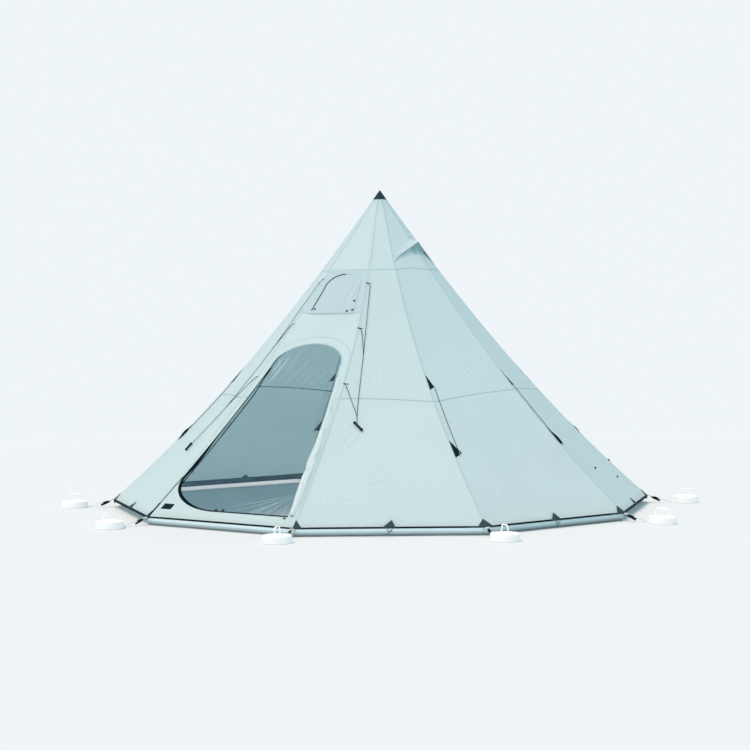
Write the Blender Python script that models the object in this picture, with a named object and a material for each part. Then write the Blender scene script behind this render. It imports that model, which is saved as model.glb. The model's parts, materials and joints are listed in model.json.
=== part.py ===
"""A ten-sided tipi tent, pitched on a telescopic pole and held down by ballast weights.

The pole stands on the origin, +Z is up and the front is -Y. Ridge k is the seam between
panel k - 1 and panel k, counted round from the left as seen from the front. The door is in
panel 2. Lengths are in metres.
"""

import math

import bmesh
import bpy
from mathutils import Matrix, Vector

# Canopy
SIDES = 10
HEM_RADIUS = 2.300
HEM_HEIGHT = 0.060
APEX_HEIGHT = 2.700
SLOPE_SAG = 0.140
SLOPE_SAG_SKEW = 0.25
CLOTH = 0.0030
GAP = 0.0003
REST_GAP = 0.0008
PANEL_ROWS = 23
CROWN_ROWS = 8
CROWN_DEPTH = 0.695
CROWN_SEAM_HEIGHT = APEX_HEIGHT - CROWN_DEPTH
CROWN_MOUTH_RADIUS = 0.0145
FRONT_RIDGE = 3.5
DOOR_PANEL = 2
# The door panel is cut wider, which pushes its ridges, and the next one, sideways at mid slope.
RIDGE_SWAY = {2: -0.070, 3: 0.075, 4: -0.060}
SWAY_FADE_POWER = 8
SMOOTH_ANGLE = math.radians(35)
SLOPE_STEP = 0.010
CUTTER_REACH = 0.030

# Cap and hem
CAP_LENGTH = 0.085
CAP_WALL = 0.0030
CAP_BLUNT = 0.007
CAP_ROWS = 4
WEBBING = 0.0020
WEBBING_WIDTH = 0.022

# Doorway, as heights above the ground and margins to the ridges
DOOR_SILL = 0.135
DOOR_CORNER_WIDTH = 0.560
DOOR_CORNER_HEIGHT = 0.225
DOOR_SPRING_HEIGHT = 1.220
DOOR_ARCH_RISE = 0.177
DOOR_ARCH_STEPS = 8
# The hinge line ends this many steps up the arch, so that the swinging door clears the panel.
DOOR_HINGE_STEPS = 2
DOOR_LEFT_MARGIN_LOW = 0.025
DOOR_LEFT_MARGIN_HIGH = 0.075
DOOR_RIGHT_MARGIN = 0.090
DOOR_CLEARANCE = 0.0030
DOOR_HINGE_GAP = 0.0005
MESH_CLOTH = 0.0020
MESH_FOLD = 0.0035
MESH_COLUMNS = 14
FAN_HEIGHT = 0.350
FAN_SLANT = 0.770
GATHER_HEIGHT = 0.160
GATHER_SLANT = 0.500
FOLD_FADE = 0.020

# Rolled outer door, which lies on the strip between the doorway and ridge 3
ROLL_FOOT_RISE = 0.005
ROLL_TOP_DROP = 0.090
ROLL_FOOT = DOOR_SILL + ROLL_FOOT_RISE
ROLL_TOP = DOOR_SPRING_HEIGHT - ROLL_TOP_DROP
ROLL_RADIUS = 0.027
ROLL_END_RADIUS = 0.012
ROLL_INSET = 0.046
ROLL_FOLDS = 5
ROLL_FOLD_DEPTH = 0.13
ROLL_SIDES = 20
ROLL_STATIONS = 26

# Window in the door panel
WINDOW_TOP_MARGIN = 0.035
WINDOW_ARCH_RISE = 0.110
WINDOW_SIDE_HEIGHT = 0.205
WINDOW_SPRING_HEIGHT = CROWN_SEAM_HEIGHT - WINDOW_TOP_MARGIN - WINDOW_ARCH_RISE
WINDOW_SILL = WINDOW_SPRING_HEIGHT - WINDOW_SIDE_HEIGHT
WINDOW_HALF_WIDTH_LOW = 0.215
WINDOW_HALF_WIDTH_HIGH = 0.172
WINDOW_FLAP_LAP = 0.015
WINDOW_FLAP_CLOTH = 0.0025
WINDOW_COLUMNS = 6

# Vent and its hood, over ridge 5, with their depths below the apex
VENT_RIDGE = 5
VENT_DEPTH = 0.522
VENT_HEIGHT = APEX_HEIGHT - VENT_DEPTH
VENT_WIDTH = 0.120
VENT_SLOPE_LENGTH = 0.090
VENT_CUT_DEPTH = 0.120
HOOD_SEAM_PEAK_DEPTH = 0.427
HOOD_SEAM_SIDE_DEPTH = 0.538
HOOD_PEAK_DEPTH = 0.452
HOOD_SEAM_PEAK = APEX_HEIGHT - HOOD_SEAM_PEAK_DEPTH
HOOD_SEAM_SIDE = APEX_HEIGHT - HOOD_SEAM_SIDE_DEPTH
HOOD_PEAK_HEIGHT = APEX_HEIGHT - HOOD_PEAK_DEPTH
HOOD_DROP = 0.180
HOOD_REACH = 0.062
# Share of the brim's drop that is straight; the rest comes near its feet.
HOOD_STRAIGHT_SHARE = 0.8
HOOD_FOOT_POWER = 8
HOOD_CLOTH = 0.0025
HOOD_COLUMNS = 16
HOOD_ROWS = 4
PROP_RISE = 0.052
PROP_HEIGHT = VENT_HEIGHT + PROP_RISE
PROP_WIDTH = 0.0050
PROP_THICKNESS = 0.0030
PROP_CLEARANCE = 0.0004
PROP_TIP_GAP = 0.0070
PROP_END_STEPS = 8

# Ground skirts, under panels 2 to 4
SKIRT_PANELS = (2, 3, 4)
SKIRT_GROUND_GAP = 0.006
SKIRT_HEM_GAP = 0.0006
SKIRT_CLOTH = 0.0015
SKIRT_END_INSET = 0.022

# Telescopic pole
POLE_SEGMENTS = 24
POLE_WALL = 0.0015
POLE_CLEARANCE = 0.0005
POLE_LOWER_RADIUS = 0.020
POLE_LOWER_TOP = 1.000
POLE_MIDDLE_TOP = 1.850
POLE_OVERLAP = 0.210
COLLAR_LENGTH = 0.040
COLLAR_WALL = 0.003
FOOT_RADIUS = 0.045
FOOT_HEIGHT = 0.034
FOOT_FLOOR = 0.010
FOOT_WALL = 0.005
HEAD_RADIUS = 0.027
HEAD_TIP_RADIUS = 0.011
HEAD_SOCKET_RADIUS = 0.023
HEAD_SOCKET_DEPTH = 0.030
HEAD_RIM = 0.010
HEAD_SEAT_GAP = 0.0006

# Ballast weights and the corner straps that they hold
WEIGHT_STANDOFF = 0.330
WEIGHT_RING_RADIUS = HEM_RADIUS + WEIGHT_STANDOFF
WEIGHT_RADIUS = 0.108
WEIGHT_HEIGHT = 0.058
WEIGHT_EDGE = 0.008
WEIGHT_SEGMENTS = 24
HANDLE_ROD_RADIUS = 0.0055
HANDLE_FOOT_SPAN = 0.128
HANDLE_TOP_SPAN = 0.088
HANDLE_RISE = 0.064
HANDLE_SINK = 0.006
HANDLE_BEND = 0.014
LUG_LENGTH = 0.022
LUG_WIDTH = 0.030
LUG_HEIGHT = 0.018
STRAP_WIDTH = 0.020
STRAP_THICKNESS = 0.0020
STRAP_HEM_RISE = 0.007
BUCKLE_WIDTH = 0.030
BUCKLE_THICKNESS = 0.0060
BUCKLE_START = 0.026
BUCKLE_LENGTH = 0.026
BUCKLE_EDGE = 0.001

# Zip sliders
SLIDER_LENGTH = 0.024
SLIDER_WIDTH = 0.011
SLIDER_THICKNESS = 0.006
DOOR_SLIDER_DROP = 0.013
DOOR_SLIDER_INSET = 0.016
MESH_SLIDER_RISE = 0.275
MESH_SLIDER_RUN = 0.540
MESH_SLIDER_HEIGHT = DOOR_SILL + MESH_SLIDER_RISE
MESH_SLIDER_END_HEIGHT = MESH_SLIDER_HEIGHT + MESH_SLIDER_RUN
MESH_SLIDER_INSET = 0.040

# Stowed guy lines: a fall line beside most ridges, and a branched bridle beside the door ridges
CORD_RADIUS = 0.0015
CORD_LIFT = 0.0022
KNOT_RADIUS = 0.0048
KNOT_LIFT = 0.0056
GUY_TOP = 1.050
GUY_FOOT = 0.572
GUY_ROUTE_STEPS = 4
GUY_RIDGES = (4, 5, 6, 7, 8, 9, 10, 1)
GUY_OFFSET = 0.052
GUY_POINTS = 9
BRIDLE_POINTS = 20
BRIDLE_LEG_POINTS = 7
BRIDLE_ANCHOR_OFFSET = 0.004
BRIDLE_ANCHOR_RISE = 0.030
TOGGLE_RADIUS = 0.0075


def clear_scene():
    """Remove the objects that Blender starts with."""
    for item in list(bpy.data.objects):
        bpy.data.objects.remove(item, do_unlink=True)


def finish(name, colour, roughness, metallic=0.0):
    """A Principled material with one colour."""
    material = bpy.data.materials.new(name)
    material.use_nodes = True
    shader = material.node_tree.nodes["Principled BSDF"]
    shader.inputs["Base Color"].default_value = (*colour, 1.0)
    shader.inputs["Roughness"].default_value = roughness
    shader.inputs["Metallic"].default_value = metallic
    return material


def node(name, mesh, material, smooth=False):
    """A named object that shows this mesh."""
    if smooth:
        mesh.shade_smooth()
        mesh.set_sharp_from_angle(angle=SMOOTH_ANGLE)
    item = bpy.data.objects.new(name, mesh)
    bpy.context.scene.collection.objects.link(item)
    if material is not None:
        mesh.materials.clear()
        mesh.materials.append(material)
    return item


def helper(name, mesh):
    """An object that only cuts, or is only joined to, another one."""
    item = node(name, mesh, None)
    item.hide_render = True
    item.display_type = "WIRE"
    return item


def mesh_of(name, points, faces):
    """A mesh with all its faces turned outwards."""
    shape = bmesh.new()
    corners = [shape.verts.new(point) for point in points]
    for face in faces:
        shape.faces.new([corners[i] for i in face])
    bmesh.ops.recalc_face_normals(shape, faces=shape.faces)
    mesh = bpy.data.meshes.new(name)
    shape.to_mesh(mesh)
    shape.free()
    return mesh


def shell_mesh(name, outer, inner, wrap=False, lid=False):
    """A closed sheet between two grids of points of the same size, joined at its rims or given a lid."""
    rows = len(outer)
    columns = len(outer[0])
    layer = rows * columns
    steps = columns if wrap else columns - 1

    def at(row, column):
        return row * columns + column % columns

    faces = []
    for r in range(rows - 1):
        for c in range(steps):
            quad = (at(r, c), at(r, c + 1), at(r + 1, c + 1), at(r + 1, c))
            faces.append(quad)
            faces.append(tuple(layer + i for i in reversed(quad)))
    for r in (0,) if lid else (0, rows - 1):
        for c in range(steps):
            a, b = at(r, c), at(r, c + 1)
            faces.append((a, b, layer + b, layer + a))
    if lid:
        rim = [at(rows - 1, c) for c in range(columns)]
        faces.append(tuple(rim))
        faces.append(tuple(layer + i for i in reversed(rim)))
    if not wrap:
        for r in range(rows - 1):
            for c in (0, columns - 1):
                a, b = at(r, c), at(r + 1, c)
                faces.append((a, b, layer + b, layer + a))
    points = [point for grid in (outer, inner) for row in grid for point in row]
    return mesh_of(name, points, faces)


def tube_mesh(name, stations):
    """A closed body through rings of points, with a flat cap at each end."""
    count = len(stations[0])
    faces = [tuple(range(count)), tuple(range((len(stations) - 1) * count, len(stations) * count))]
    for s in range(len(stations) - 1):
        for i in range(count):
            j = (i + 1) % count
            faces.append((s * count + i, s * count + j, (s + 1) * count + j, (s + 1) * count + i))
    return mesh_of(name, [point for ring in stations for point in ring], faces)


def turned_mesh(name, profile, segments):
    """A body turned about Z from a closed profile of (radius, height) points."""
    points = []
    rings = []
    for radius, height in profile:
        count = segments if radius > 0 else 1
        rings.append([len(points) + i for i in range(count)])
        for i in range(count):
            angle = 2 * math.pi * i / segments
            points.append((radius * math.cos(angle), radius * math.sin(angle), height))
    faces = []
    for a, b in zip(rings, rings[1:] + rings[:1]):
        for i in range(segments):
            j = (i + 1) % segments
            corners = [a[i % len(a)], a[j % len(a)], b[j % len(b)], b[i % len(b)]]
            face = list(dict.fromkeys(corners))
            if len(face) > 2:
                faces.append(face)
    return mesh_of(name, points, faces)


def block_mesh(name, centre, along_x, along_y, along_z):
    """A box from its centre and its three full edge vectors."""
    points = []
    for x in (-0.5, 0.5):
        for y in (-0.5, 0.5):
            for z in (-0.5, 0.5):
                points.append(centre + along_x * x + along_y * y + along_z * z)
    faces = [(0, 1, 3, 2), (4, 5, 7, 6), (0, 1, 5, 4), (2, 3, 7, 6), (0, 2, 6, 4), (1, 3, 7, 5)]
    return mesh_of(name, points, faces)


def smooth_path(route, count):
    """Points along a Catmull-Rom curve through the route's own points."""
    ends = [2 * route[0] - route[1]] + list(route) + [2 * route[-1] - route[-2]]
    spans = len(route) - 1
    path = []
    for i in range(count):
        place = spans * i / (count - 1)
        span = min(int(place), spans - 1)
        t = place - span
        a, b, c, d = ends[span : span + 4]
        path.append(
            0.5 * (2 * b + (c - a) * t + (2 * a - 5 * b + 4 * c - d) * t**2 + (3 * b - a - 3 * c + d) * t**3)
        )
    return path


def cord_object(name, path, radius, material):
    """A cord as a bevelled curve with closed ends."""
    curve = bpy.data.curves.new(name, "CURVE")
    curve.dimensions = "3D"
    curve.bevel_depth = radius
    curve.bevel_resolution = 2
    curve.use_fill_caps = True
    spline = curve.splines.new("POLY")
    spline.points.add(len(path) - 1)
    for knot, point in zip(spline.points, path):
        knot.co = (*point, 1.0)
    return node(name, curve, material)


def cord_mesh(name, path, radius):
    """The same cord as a plain mesh, for joining to other bodies."""
    item = cord_object(name, path, radius, None)
    mesh = bpy.data.meshes.new_from_object(item.evaluated_get(bpy.context.evaluated_depsgraph_get()))
    mesh.name = name
    bpy.data.objects.remove(item, do_unlink=True)
    shape = bmesh.new()
    shape.from_mesh(mesh)
    bmesh.ops.remove_doubles(shape, verts=shape.verts, dist=1e-6)
    bmesh.ops.recalc_face_normals(shape, faces=shape.faces)
    shape.to_mesh(mesh)
    shape.free()
    return mesh


def combine(item, other, operation):
    """Join another body to this one, or cut or keep what they share."""
    modifier = item.modifiers.new(other.name, "BOOLEAN")
    modifier.operation = operation
    modifier.object = other


def joined_mesh(name, meshes):
    """One mesh from overlapping bodies."""
    first = helper(name + "_whole", meshes[0])
    others = [helper(f"{name}_piece_{i}", mesh) for i, mesh in enumerate(meshes[1:])]
    for other in others:
        combine(first, other, "UNION")
    bpy.context.view_layer.update()
    mesh = bpy.data.meshes.new_from_object(first.evaluated_get(bpy.context.evaluated_depsgraph_get()))
    mesh.name = name
    for item in [first, *others]:
        bpy.data.objects.remove(item, do_unlink=True)
    return mesh


def set_origin(item, point):
    """Put the object's origin on its joint without moving the shape."""
    item.data.transform(Matrix.Translation(-point))
    item.location = point


def spaced(start, end, steps):
    """Evenly spaced values, both ends included."""
    return [start + (end - start) * i / steps for i in range(steps + 1)]


def azimuth(ridge):
    """Angle of a ridge about the pole, from the front (-Y) towards +X."""
    return 2 * math.pi / SIDES * (ridge - FRONT_RIDGE)


def outward(angle):
    return Vector((math.sin(angle), -math.cos(angle), 0.0))


def sideways(angle):
    return Vector((math.cos(angle), math.sin(angle), 0.0))


def share_down(height):
    """How far down the slope a height lies, from 0 at the apex to 1 at the hem."""
    return (APEX_HEIGHT - height) / (APEX_HEIGHT - HEM_HEIGHT)


def canopy_radius(height):
    """Pole to ridge: a straight slope, drawn in by the sag of the stretched cloth."""
    t = share_down(height)
    return HEM_RADIUS * t - 4 * SLOPE_SAG * t * (1 - t) * (1 + SLOPE_SAG_SKEW * (2 * t - 1))


def wall_distance(height):
    """Pole to the inside of the cloth at the middle of a panel."""
    return canopy_radius(height) * math.cos(math.pi / SIDES) - CLOTH


def ridge_point(ridge, height, inset=0.0, side=0):
    """A point on a ridge, moved towards the pole by inset and off the seam by half a gap."""
    t = share_down(height)
    fade = 1 - (1 - t) ** SWAY_FADE_POWER
    sway = RIDGE_SWAY.get((ridge - 1) % SIDES + 1, 0.0) * 4 * t * (1 - t) * fade
    angle = azimuth(ridge)
    flat = outward(angle) * (canopy_radius(height) - inset) + sideways(angle) * (sway + side * GAP / 2)
    return flat + Vector((0.0, 0.0, height))


def ridge_rise(ridge, height):
    """Direction straight up along a ridge."""
    above = ridge_point(ridge, height + SLOPE_STEP)
    return (above - ridge_point(ridge, height - SLOPE_STEP)).normalized()


def panel_width(panel, height):
    return (ridge_point(panel + 1, height) - ridge_point(panel, height)).length


def panel_normal(panel, height):
    """Direction straight out of a panel."""
    across = ridge_point(panel + 1, height) - ridge_point(panel, height)
    above = ridge_point(panel, height + SLOPE_STEP) + ridge_point(panel + 1, height + SLOPE_STEP)
    below = ridge_point(panel, height - SLOPE_STEP) + ridge_point(panel + 1, height - SLOPE_STEP)
    return across.cross(above - below).normalized()


def panel_point(panel, height, offset, lift=0.0):
    """A point offset from the panel's left ridge and lifted off its cloth."""
    left = ridge_point(panel, height)
    right = ridge_point(panel + 1, height)
    return left + (right - left).normalized() * offset + panel_normal(panel, height) * lift


def beside_ridge(ridge, side, height, offset, lift):
    """A point on the panel to the right (1) or left (-1) of a ridge, by its distance to the ridge."""
    if side > 0:
        return panel_point(ridge, height, offset, lift)
    return panel_point(ridge - 1, height, panel_width(ridge - 1, height) - offset, lift)


def doorway(gap=0.0, hinge_gap=0.0):
    """Rows (height, left, right) of the D-shaped doorway, drawn in by a gap."""
    sill = DOOR_SILL + gap
    corner_top = DOOR_SILL + DOOR_CORNER_HEIGHT

    def left(height):
        t = (height - corner_top) / (DOOR_SPRING_HEIGHT - corner_top)
        return DOOR_LEFT_MARGIN_LOW + (DOOR_LEFT_MARGIN_HIGH - DOOR_LEFT_MARGIN_LOW) * max(t, 0.0) + gap

    def right(height):
        return panel_width(DOOR_PANEL, height) - DOOR_RIGHT_MARGIN - hinge_gap

    rows = []
    for angle in spaced(math.pi / 2, 0.0, 8):
        height = sill + (corner_top - sill) * (1 - math.sin(angle))
        rows.append((height, left(height) + DOOR_CORNER_WIDTH * (1 - math.cos(angle)), right(height)))
    for height in spaced(corner_top, DOOR_SPRING_HEIGHT, 12)[1:]:
        rows.append((height, left(height), right(height)))
    _, spring_left, spring_right = rows[-1]
    half = (spring_right - spring_left) / 2
    shift = (spring_right + spring_left - panel_width(DOOR_PANEL, DOOR_SPRING_HEIGHT)) / 2
    for angle in spaced(0.0, math.radians(80), DOOR_ARCH_STEPS)[1:]:
        height = DOOR_SPRING_HEIGHT + (DOOR_ARCH_RISE - gap) * math.sin(angle)
        centre = panel_width(DOOR_PANEL, height) / 2 + shift
        rows.append((height, centre - half * math.cos(angle), centre + half * math.cos(angle)))
    return rows


def window_opening(gap=0.0):
    """Rows (height, left, right) of the arched window, drawn in by a gap, or spread by a lap below 0."""
    rows = []
    for t in spaced(0.0, 1.0, 4):
        height = WINDOW_SILL + gap + (WINDOW_SPRING_HEIGHT - WINDOW_SILL - gap) * t
        half = WINDOW_HALF_WIDTH_LOW + (WINDOW_HALF_WIDTH_HIGH - WINDOW_HALF_WIDTH_LOW) * t - gap
        rows.append((height, half))
    for angle in spaced(0.0, math.radians(78), 6)[1:]:
        height = WINDOW_SPRING_HEIGHT + (WINDOW_ARCH_RISE - gap) * math.sin(angle)
        rows.append((height, (WINDOW_HALF_WIDTH_HIGH - gap) * math.cos(angle)))
    outline = []
    for height, half in rows:
        middle = panel_width(DOOR_PANEL, height) / 2
        outline.append((height, middle - half, middle + half))
    return outline


def patch_mesh(name, outline, low, high, columns, fold=None):
    """A sheet over part of the door panel, between two lifts off its cloth."""
    layers = []
    for lift in (high, low):
        grid = []
        for height, left, right in outline:
            row = []
            for offset in spaced(left, right, columns):
                wave = fold(height, offset, left, right) if fold else 0.0
                row.append(panel_point(DOOR_PANEL, height, offset, lift + wave))
            grid.append(row)
        layers.append(grid)
    return shell_mesh(name, *layers)


def canopy_panel(panel, material):
    """One sewn panel from the hem to the crown seam, mitred along both ridges."""
    heights = [HEM_HEIGHT] + spaced(HEM_HEIGHT + WEBBING_WIDTH, CROWN_SEAM_HEIGHT - GAP / 2, PANEL_ROWS)
    layers = []
    for inset in (0.0, CLOTH):
        layers.append([[ridge_point(panel, z, inset, 1), ridge_point(panel + 1, z, inset, -1)] for z in heights])
    suffix = "_door" if panel == DOOR_PANEL else ""
    name = f"canopy_panel_{panel:02d}{suffix}"
    return node(name, shell_mesh(name, *layers), material)


def cut_doorway_and_window(panel_object):
    """Cut through the door panel along the cloth's own normal."""
    for name, outline in (("doorway_cutter", doorway()), ("window_cutter", window_opening())):
        cutter = patch_mesh(name, outline, -CUTTER_REACH, CUTTER_REACH, 1)
        combine(panel_object, helper(name, cutter), "DIFFERENCE")


def crown_mouth_height():
    """The height at which the crown is as narrow as its mouth."""
    low, high = CROWN_SEAM_HEIGHT, APEX_HEIGHT
    for _ in range(40):
        middle = (low + high) / 2
        if canopy_radius(middle) > CROWN_MOUTH_RADIUS:
            low = middle
        else:
            high = middle
    return low


def crown_mesh(name):
    """The top of the canopy in one piece, open at its mouth for the pole head."""
    heights = spaced(CROWN_SEAM_HEIGHT + GAP / 2, crown_mouth_height(), CROWN_ROWS)
    layers = [[[ridge_point(k, z, inset) for k in range(1, SIDES + 1)] for z in heights] for inset in (0.0, CLOTH)]
    return shell_mesh(name, *layers, wrap=True)


def vent_block(name, shrink=0.0):
    """A block across the vent ridge, square to it."""
    centre = ridge_point(VENT_RIDGE, VENT_HEIGHT)
    up = ridge_rise(VENT_RIDGE, VENT_HEIGHT)
    across = sideways(azimuth(VENT_RIDGE))
    through = across.cross(up) * VENT_CUT_DEPTH
    width, length = VENT_WIDTH - shrink, VENT_SLOPE_LENGTH - shrink
    return helper(name, block_mesh(name, centre, across * width, up * length, through))


def crown_and_vent(cloth, mesh_cloth):
    """The crown with its vent hole, and the mesh that fills the hole."""
    crown = node("canopy_crown", crown_mesh("canopy_crown"), cloth)
    combine(crown, vent_block("vent_cutter"), "DIFFERENCE")
    vent = node("vent_mesh", crown_mesh("vent_mesh"), mesh_cloth)
    combine(vent, vent_block("vent_mesh_block", 2 * GAP), "INTERSECT")


def apex_cap(material):
    """A pointed cap over the top of the crown, closed at its tip."""
    layers = []
    for lift, top in ((CAP_WALL, APEX_HEIGHT - CAP_BLUNT), (2 * GAP, crown_mouth_height() + 2 * GAP)):
        rows = []
        for z in spaced(APEX_HEIGHT - CAP_LENGTH, top, CAP_ROWS):
            rows.append([ridge_point(k, z, -lift) for k in range(1, SIDES + 1)])
        layers.append(rows)
    node("apex_cap", shell_mesh("apex_cap", *layers, wrap=True, lid=True), material)


def hem_webbing(material):
    """The band sewn round the outside of the hem."""
    layers = []
    for lift in (GAP * 2 + WEBBING, GAP * 2):
        rows = []
        for z in (HEM_HEIGHT, HEM_HEIGHT + WEBBING_WIDTH):
            rows.append([ridge_point(k, z, -lift) for k in range(1, SIDES + 1)])
        layers.append(rows)
    node("hem_webbing", shell_mesh("hem_webbing", *layers, wrap=True), material)


def mesh_folds(height, offset, left, right):
    """Slack folds that fan out over the door's lower right and gather at its upper left."""
    u = (offset - left) / (right - left)
    edge = math.sin(math.pi * u)
    low = max(0.0, 1 - (height - DOOR_SILL) / FAN_HEIGHT)
    fan = math.sin(6 * math.pi * (u + (height - DOOR_SILL) / FAN_SLANT))
    high = max(0.0, 1 - abs(height - DOOR_SPRING_HEIGHT) / GATHER_HEIGHT)
    gather = math.sin(5 * math.pi * (u - (height - DOOR_SPRING_HEIGHT) / GATHER_SLANT))
    rise = max(0.0, min(1.0, (height - DOOR_SILL) / FOLD_FADE))
    return MESH_FOLD * edge * (rise * low * u * fan + 0.6 * high * (1 - u) * gather)


def mesh_door(material):
    """The insect-mesh door that fills the doorway and swings on its right edge."""
    rows = doorway(DOOR_CLEARANCE, DOOR_HINGE_GAP)
    mesh = patch_mesh("mesh_door", rows, -MESH_CLOTH, 0.0, MESH_COLUMNS, mesh_folds)
    set_origin(node("mesh_door", mesh, material), door_hinge()[0])


def door_hinge():
    """The two ends of the straight line that the mesh door swings on."""
    rows = doorway()
    height, _, right = rows[0]
    foot = panel_point(DOOR_PANEL, height, right)
    height, _, right = rows[DOOR_HINGE_STEPS - DOOR_ARCH_STEPS - 1]
    return foot, panel_point(DOOR_PANEL, height, right)


def door_roll(material):
    """The outer door, gathered into a folded roll along the right of the doorway."""
    stations = []
    for t in spaced(0.0, 1.0, ROLL_STATIONS):
        height = ROLL_FOOT + (ROLL_TOP - ROLL_FOOT) * t
        fullness = math.sin(math.pi * t) ** 0.35
        radius = ROLL_END_RADIUS + (ROLL_RADIUS - ROLL_END_RADIUS) * fullness
        centre = panel_width(DOOR_PANEL, height) - ROLL_INSET
        ring = []
        for i in range(ROLL_SIDES):
            angle = 2 * math.pi * i / ROLL_SIDES
            reach = radius * (1 - ROLL_FOLD_DEPTH + ROLL_FOLD_DEPTH * math.cos(ROLL_FOLDS * angle + 5 * t))
            lift = max(REST_GAP, REST_GAP + 0.8 * radius + reach * math.sin(angle))
            ring.append(panel_point(DOOR_PANEL, height, centre + reach * math.cos(angle), lift))
        stations.append(ring)
    node("door_roll", tube_mesh("door_roll", stations), material, smooth=True)


def window_pieces(mesh_cloth, cloth):
    """The insect mesh in the window, and the flap that closes it, hinged along its sill."""
    mesh = patch_mesh("window_mesh", window_opening(GAP), -MESH_CLOTH, -GAP, WINDOW_COLUMNS)
    node("window_mesh", mesh, mesh_cloth)
    outline = window_opening(-WINDOW_FLAP_LAP)
    flap = patch_mesh("window_flap", outline, REST_GAP, REST_GAP + WINDOW_FLAP_CLOTH, WINDOW_COLUMNS)
    set_origin(node("window_flap", flap, cloth), window_hinge())


def window_hinge():
    """A point on the flap's hinge line, at half its thickness above its lower edge."""
    height, left, right = window_opening(-WINDOW_FLAP_LAP)[0]
    return panel_point(DOOR_PANEL, height, (left + right) / 2, REST_GAP + WINDOW_FLAP_CLOTH / 2)


def hood_seam(s):
    """The line along which the hood is sewn to the crown, from s = -1 over the ridge to s = 1."""
    height = HOOD_SEAM_PEAK + (HOOD_SEAM_SIDE - HOOD_SEAM_PEAK) * abs(s)
    return crown_surface(s, height)


def crown_surface(s, height):
    """A point just off the crown, between the ridges either side of the vent ridge."""
    panel = VENT_RIDGE - 1 if s < 0 else VENT_RIDGE
    share = s + 1 if s < 0 else s
    point = panel_point(panel, height, panel_width(panel, height) * share, REST_GAP)
    if s == 0:
        point = ridge_point(VENT_RIDGE, height, -REST_GAP * 1.3)
    return point


def hood_brim(s):
    """The hood's free edge: two feet on the crown and a peak held proud over the ridge."""
    share = HOOD_STRAIGHT_SHARE * abs(s) + (1 - HOOD_STRAIGHT_SHARE) * abs(s) ** HOOD_FOOT_POWER
    base = crown_surface(s, HOOD_PEAK_HEIGHT - HOOD_DROP * share)
    return base + Vector((base.x, base.y, 0.0)).normalized() * HOOD_REACH * (1 - abs(s))


def vent_hood(material):
    """A hood over the vent, sewn along its top and open below."""
    inner = []
    for v in spaced(0.0, 1.0, HOOD_ROWS):
        inner.append([hood_seam(s).lerp(hood_brim(s), v) for s in spaced(-1.0, 1.0, HOOD_COLUMNS)])
    outer = []
    for r, row in enumerate(inner):
        lifted = []
        for c, point in enumerate(row):
            across = row[min(c + 1, HOOD_COLUMNS)] - row[max(c - 1, 0)]
            down = inner[min(r + 1, HOOD_ROWS)][c] - inner[max(r - 1, 0)][c]
            lifted.append(point + down.cross(across).normalized() * HOOD_CLOTH)
        outer.append(lifted)
    node("vent_hood", shell_mesh("vent_hood", outer, inner), material)


def prop_pivot():
    """The prop's hinge: the centre of its round end, just off the vent ridge."""
    proud = sideways(azimuth(VENT_RIDGE)).cross(ridge_rise(VENT_RIDGE, PROP_HEIGHT))
    return ridge_point(VENT_RIDGE, PROP_HEIGHT) + proud * (PROP_THICKNESS / 2 + PROP_CLEARANCE)


def vent_prop(material):
    """The short batten that holds the hood's peak out, rounded at its hinge on the vent ridge."""
    pivot = prop_pivot()
    reach = hood_brim(0.0) - pivot
    axis = reach.normalized()
    across = sideways(azimuth(VENT_RIDGE))
    thick = axis.cross(across) * PROP_THICKNESS / 2
    outline = []
    for angle in spaced(math.pi / 2, 3 * math.pi / 2, PROP_END_STEPS):
        outline.append(pivot + axis * (PROP_THICKNESS / 2 * math.cos(angle)) + thick * math.sin(angle))
    tip = pivot + axis * (reach.length - PROP_TIP_GAP)
    outline += [tip - thick, tip + thick]
    sides = [[point + across * PROP_WIDTH * half for point in outline] for half in (-0.5, 0.5)]
    set_origin(node("vent_prop", tube_mesh("vent_prop", sides), material), pivot)


def ground_skirt(panel, material):
    """A strip that hangs from the hem and closes the gap to the ground."""
    left = ridge_point(panel, HEM_HEIGHT, CLOTH / 2)
    right = ridge_point(panel + 1, HEM_HEIGHT, CLOTH / 2)
    along = (right - left).normalized()
    length = (right - left).length - 2 * SKIRT_END_INSET
    top = HEM_HEIGHT - SKIRT_HEM_GAP
    drop = top - SKIRT_GROUND_GAP
    middle = (left + right) / 2
    middle.z = top - drop / 2
    across = Vector((-along.y, along.x, 0.0))
    name = f"ground_skirt_{panel:02d}"
    mesh = block_mesh(name, middle, along * length, across * SKIRT_CLOTH, Vector((0.0, 0.0, drop)))
    hinge = Vector((middle.x, middle.y, top - SKIRT_CLOTH / 2))
    set_origin(node(name, mesh, material), hinge)


def pole_tube(name, outer, foot, top, collar, material):
    """A pole section, with a thicker collar at its mouth where the next one slides in."""
    inner = outer - POLE_WALL
    profile = [(inner, foot), (outer, foot)]
    if collar:
        rim = outer + COLLAR_WALL
        profile += [(outer, top - COLLAR_LENGTH), (rim, top - COLLAR_LENGTH), (rim, top)]
    else:
        profile.append((outer, top))
    profile.append((inner, top))
    node(name, turned_mesh(name, profile, POLE_SEGMENTS), material, smooth=True)


def seat_height(radius):
    """The height at which a disc of this radius just fits inside the crown."""
    low, high = CROWN_SEAM_HEIGHT, APEX_HEIGHT
    for _ in range(40):
        middle = (low + high) / 2
        if wall_distance(middle) - HEAD_SEAT_GAP > radius:
            low = middle
        else:
            high = middle
    return low


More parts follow.
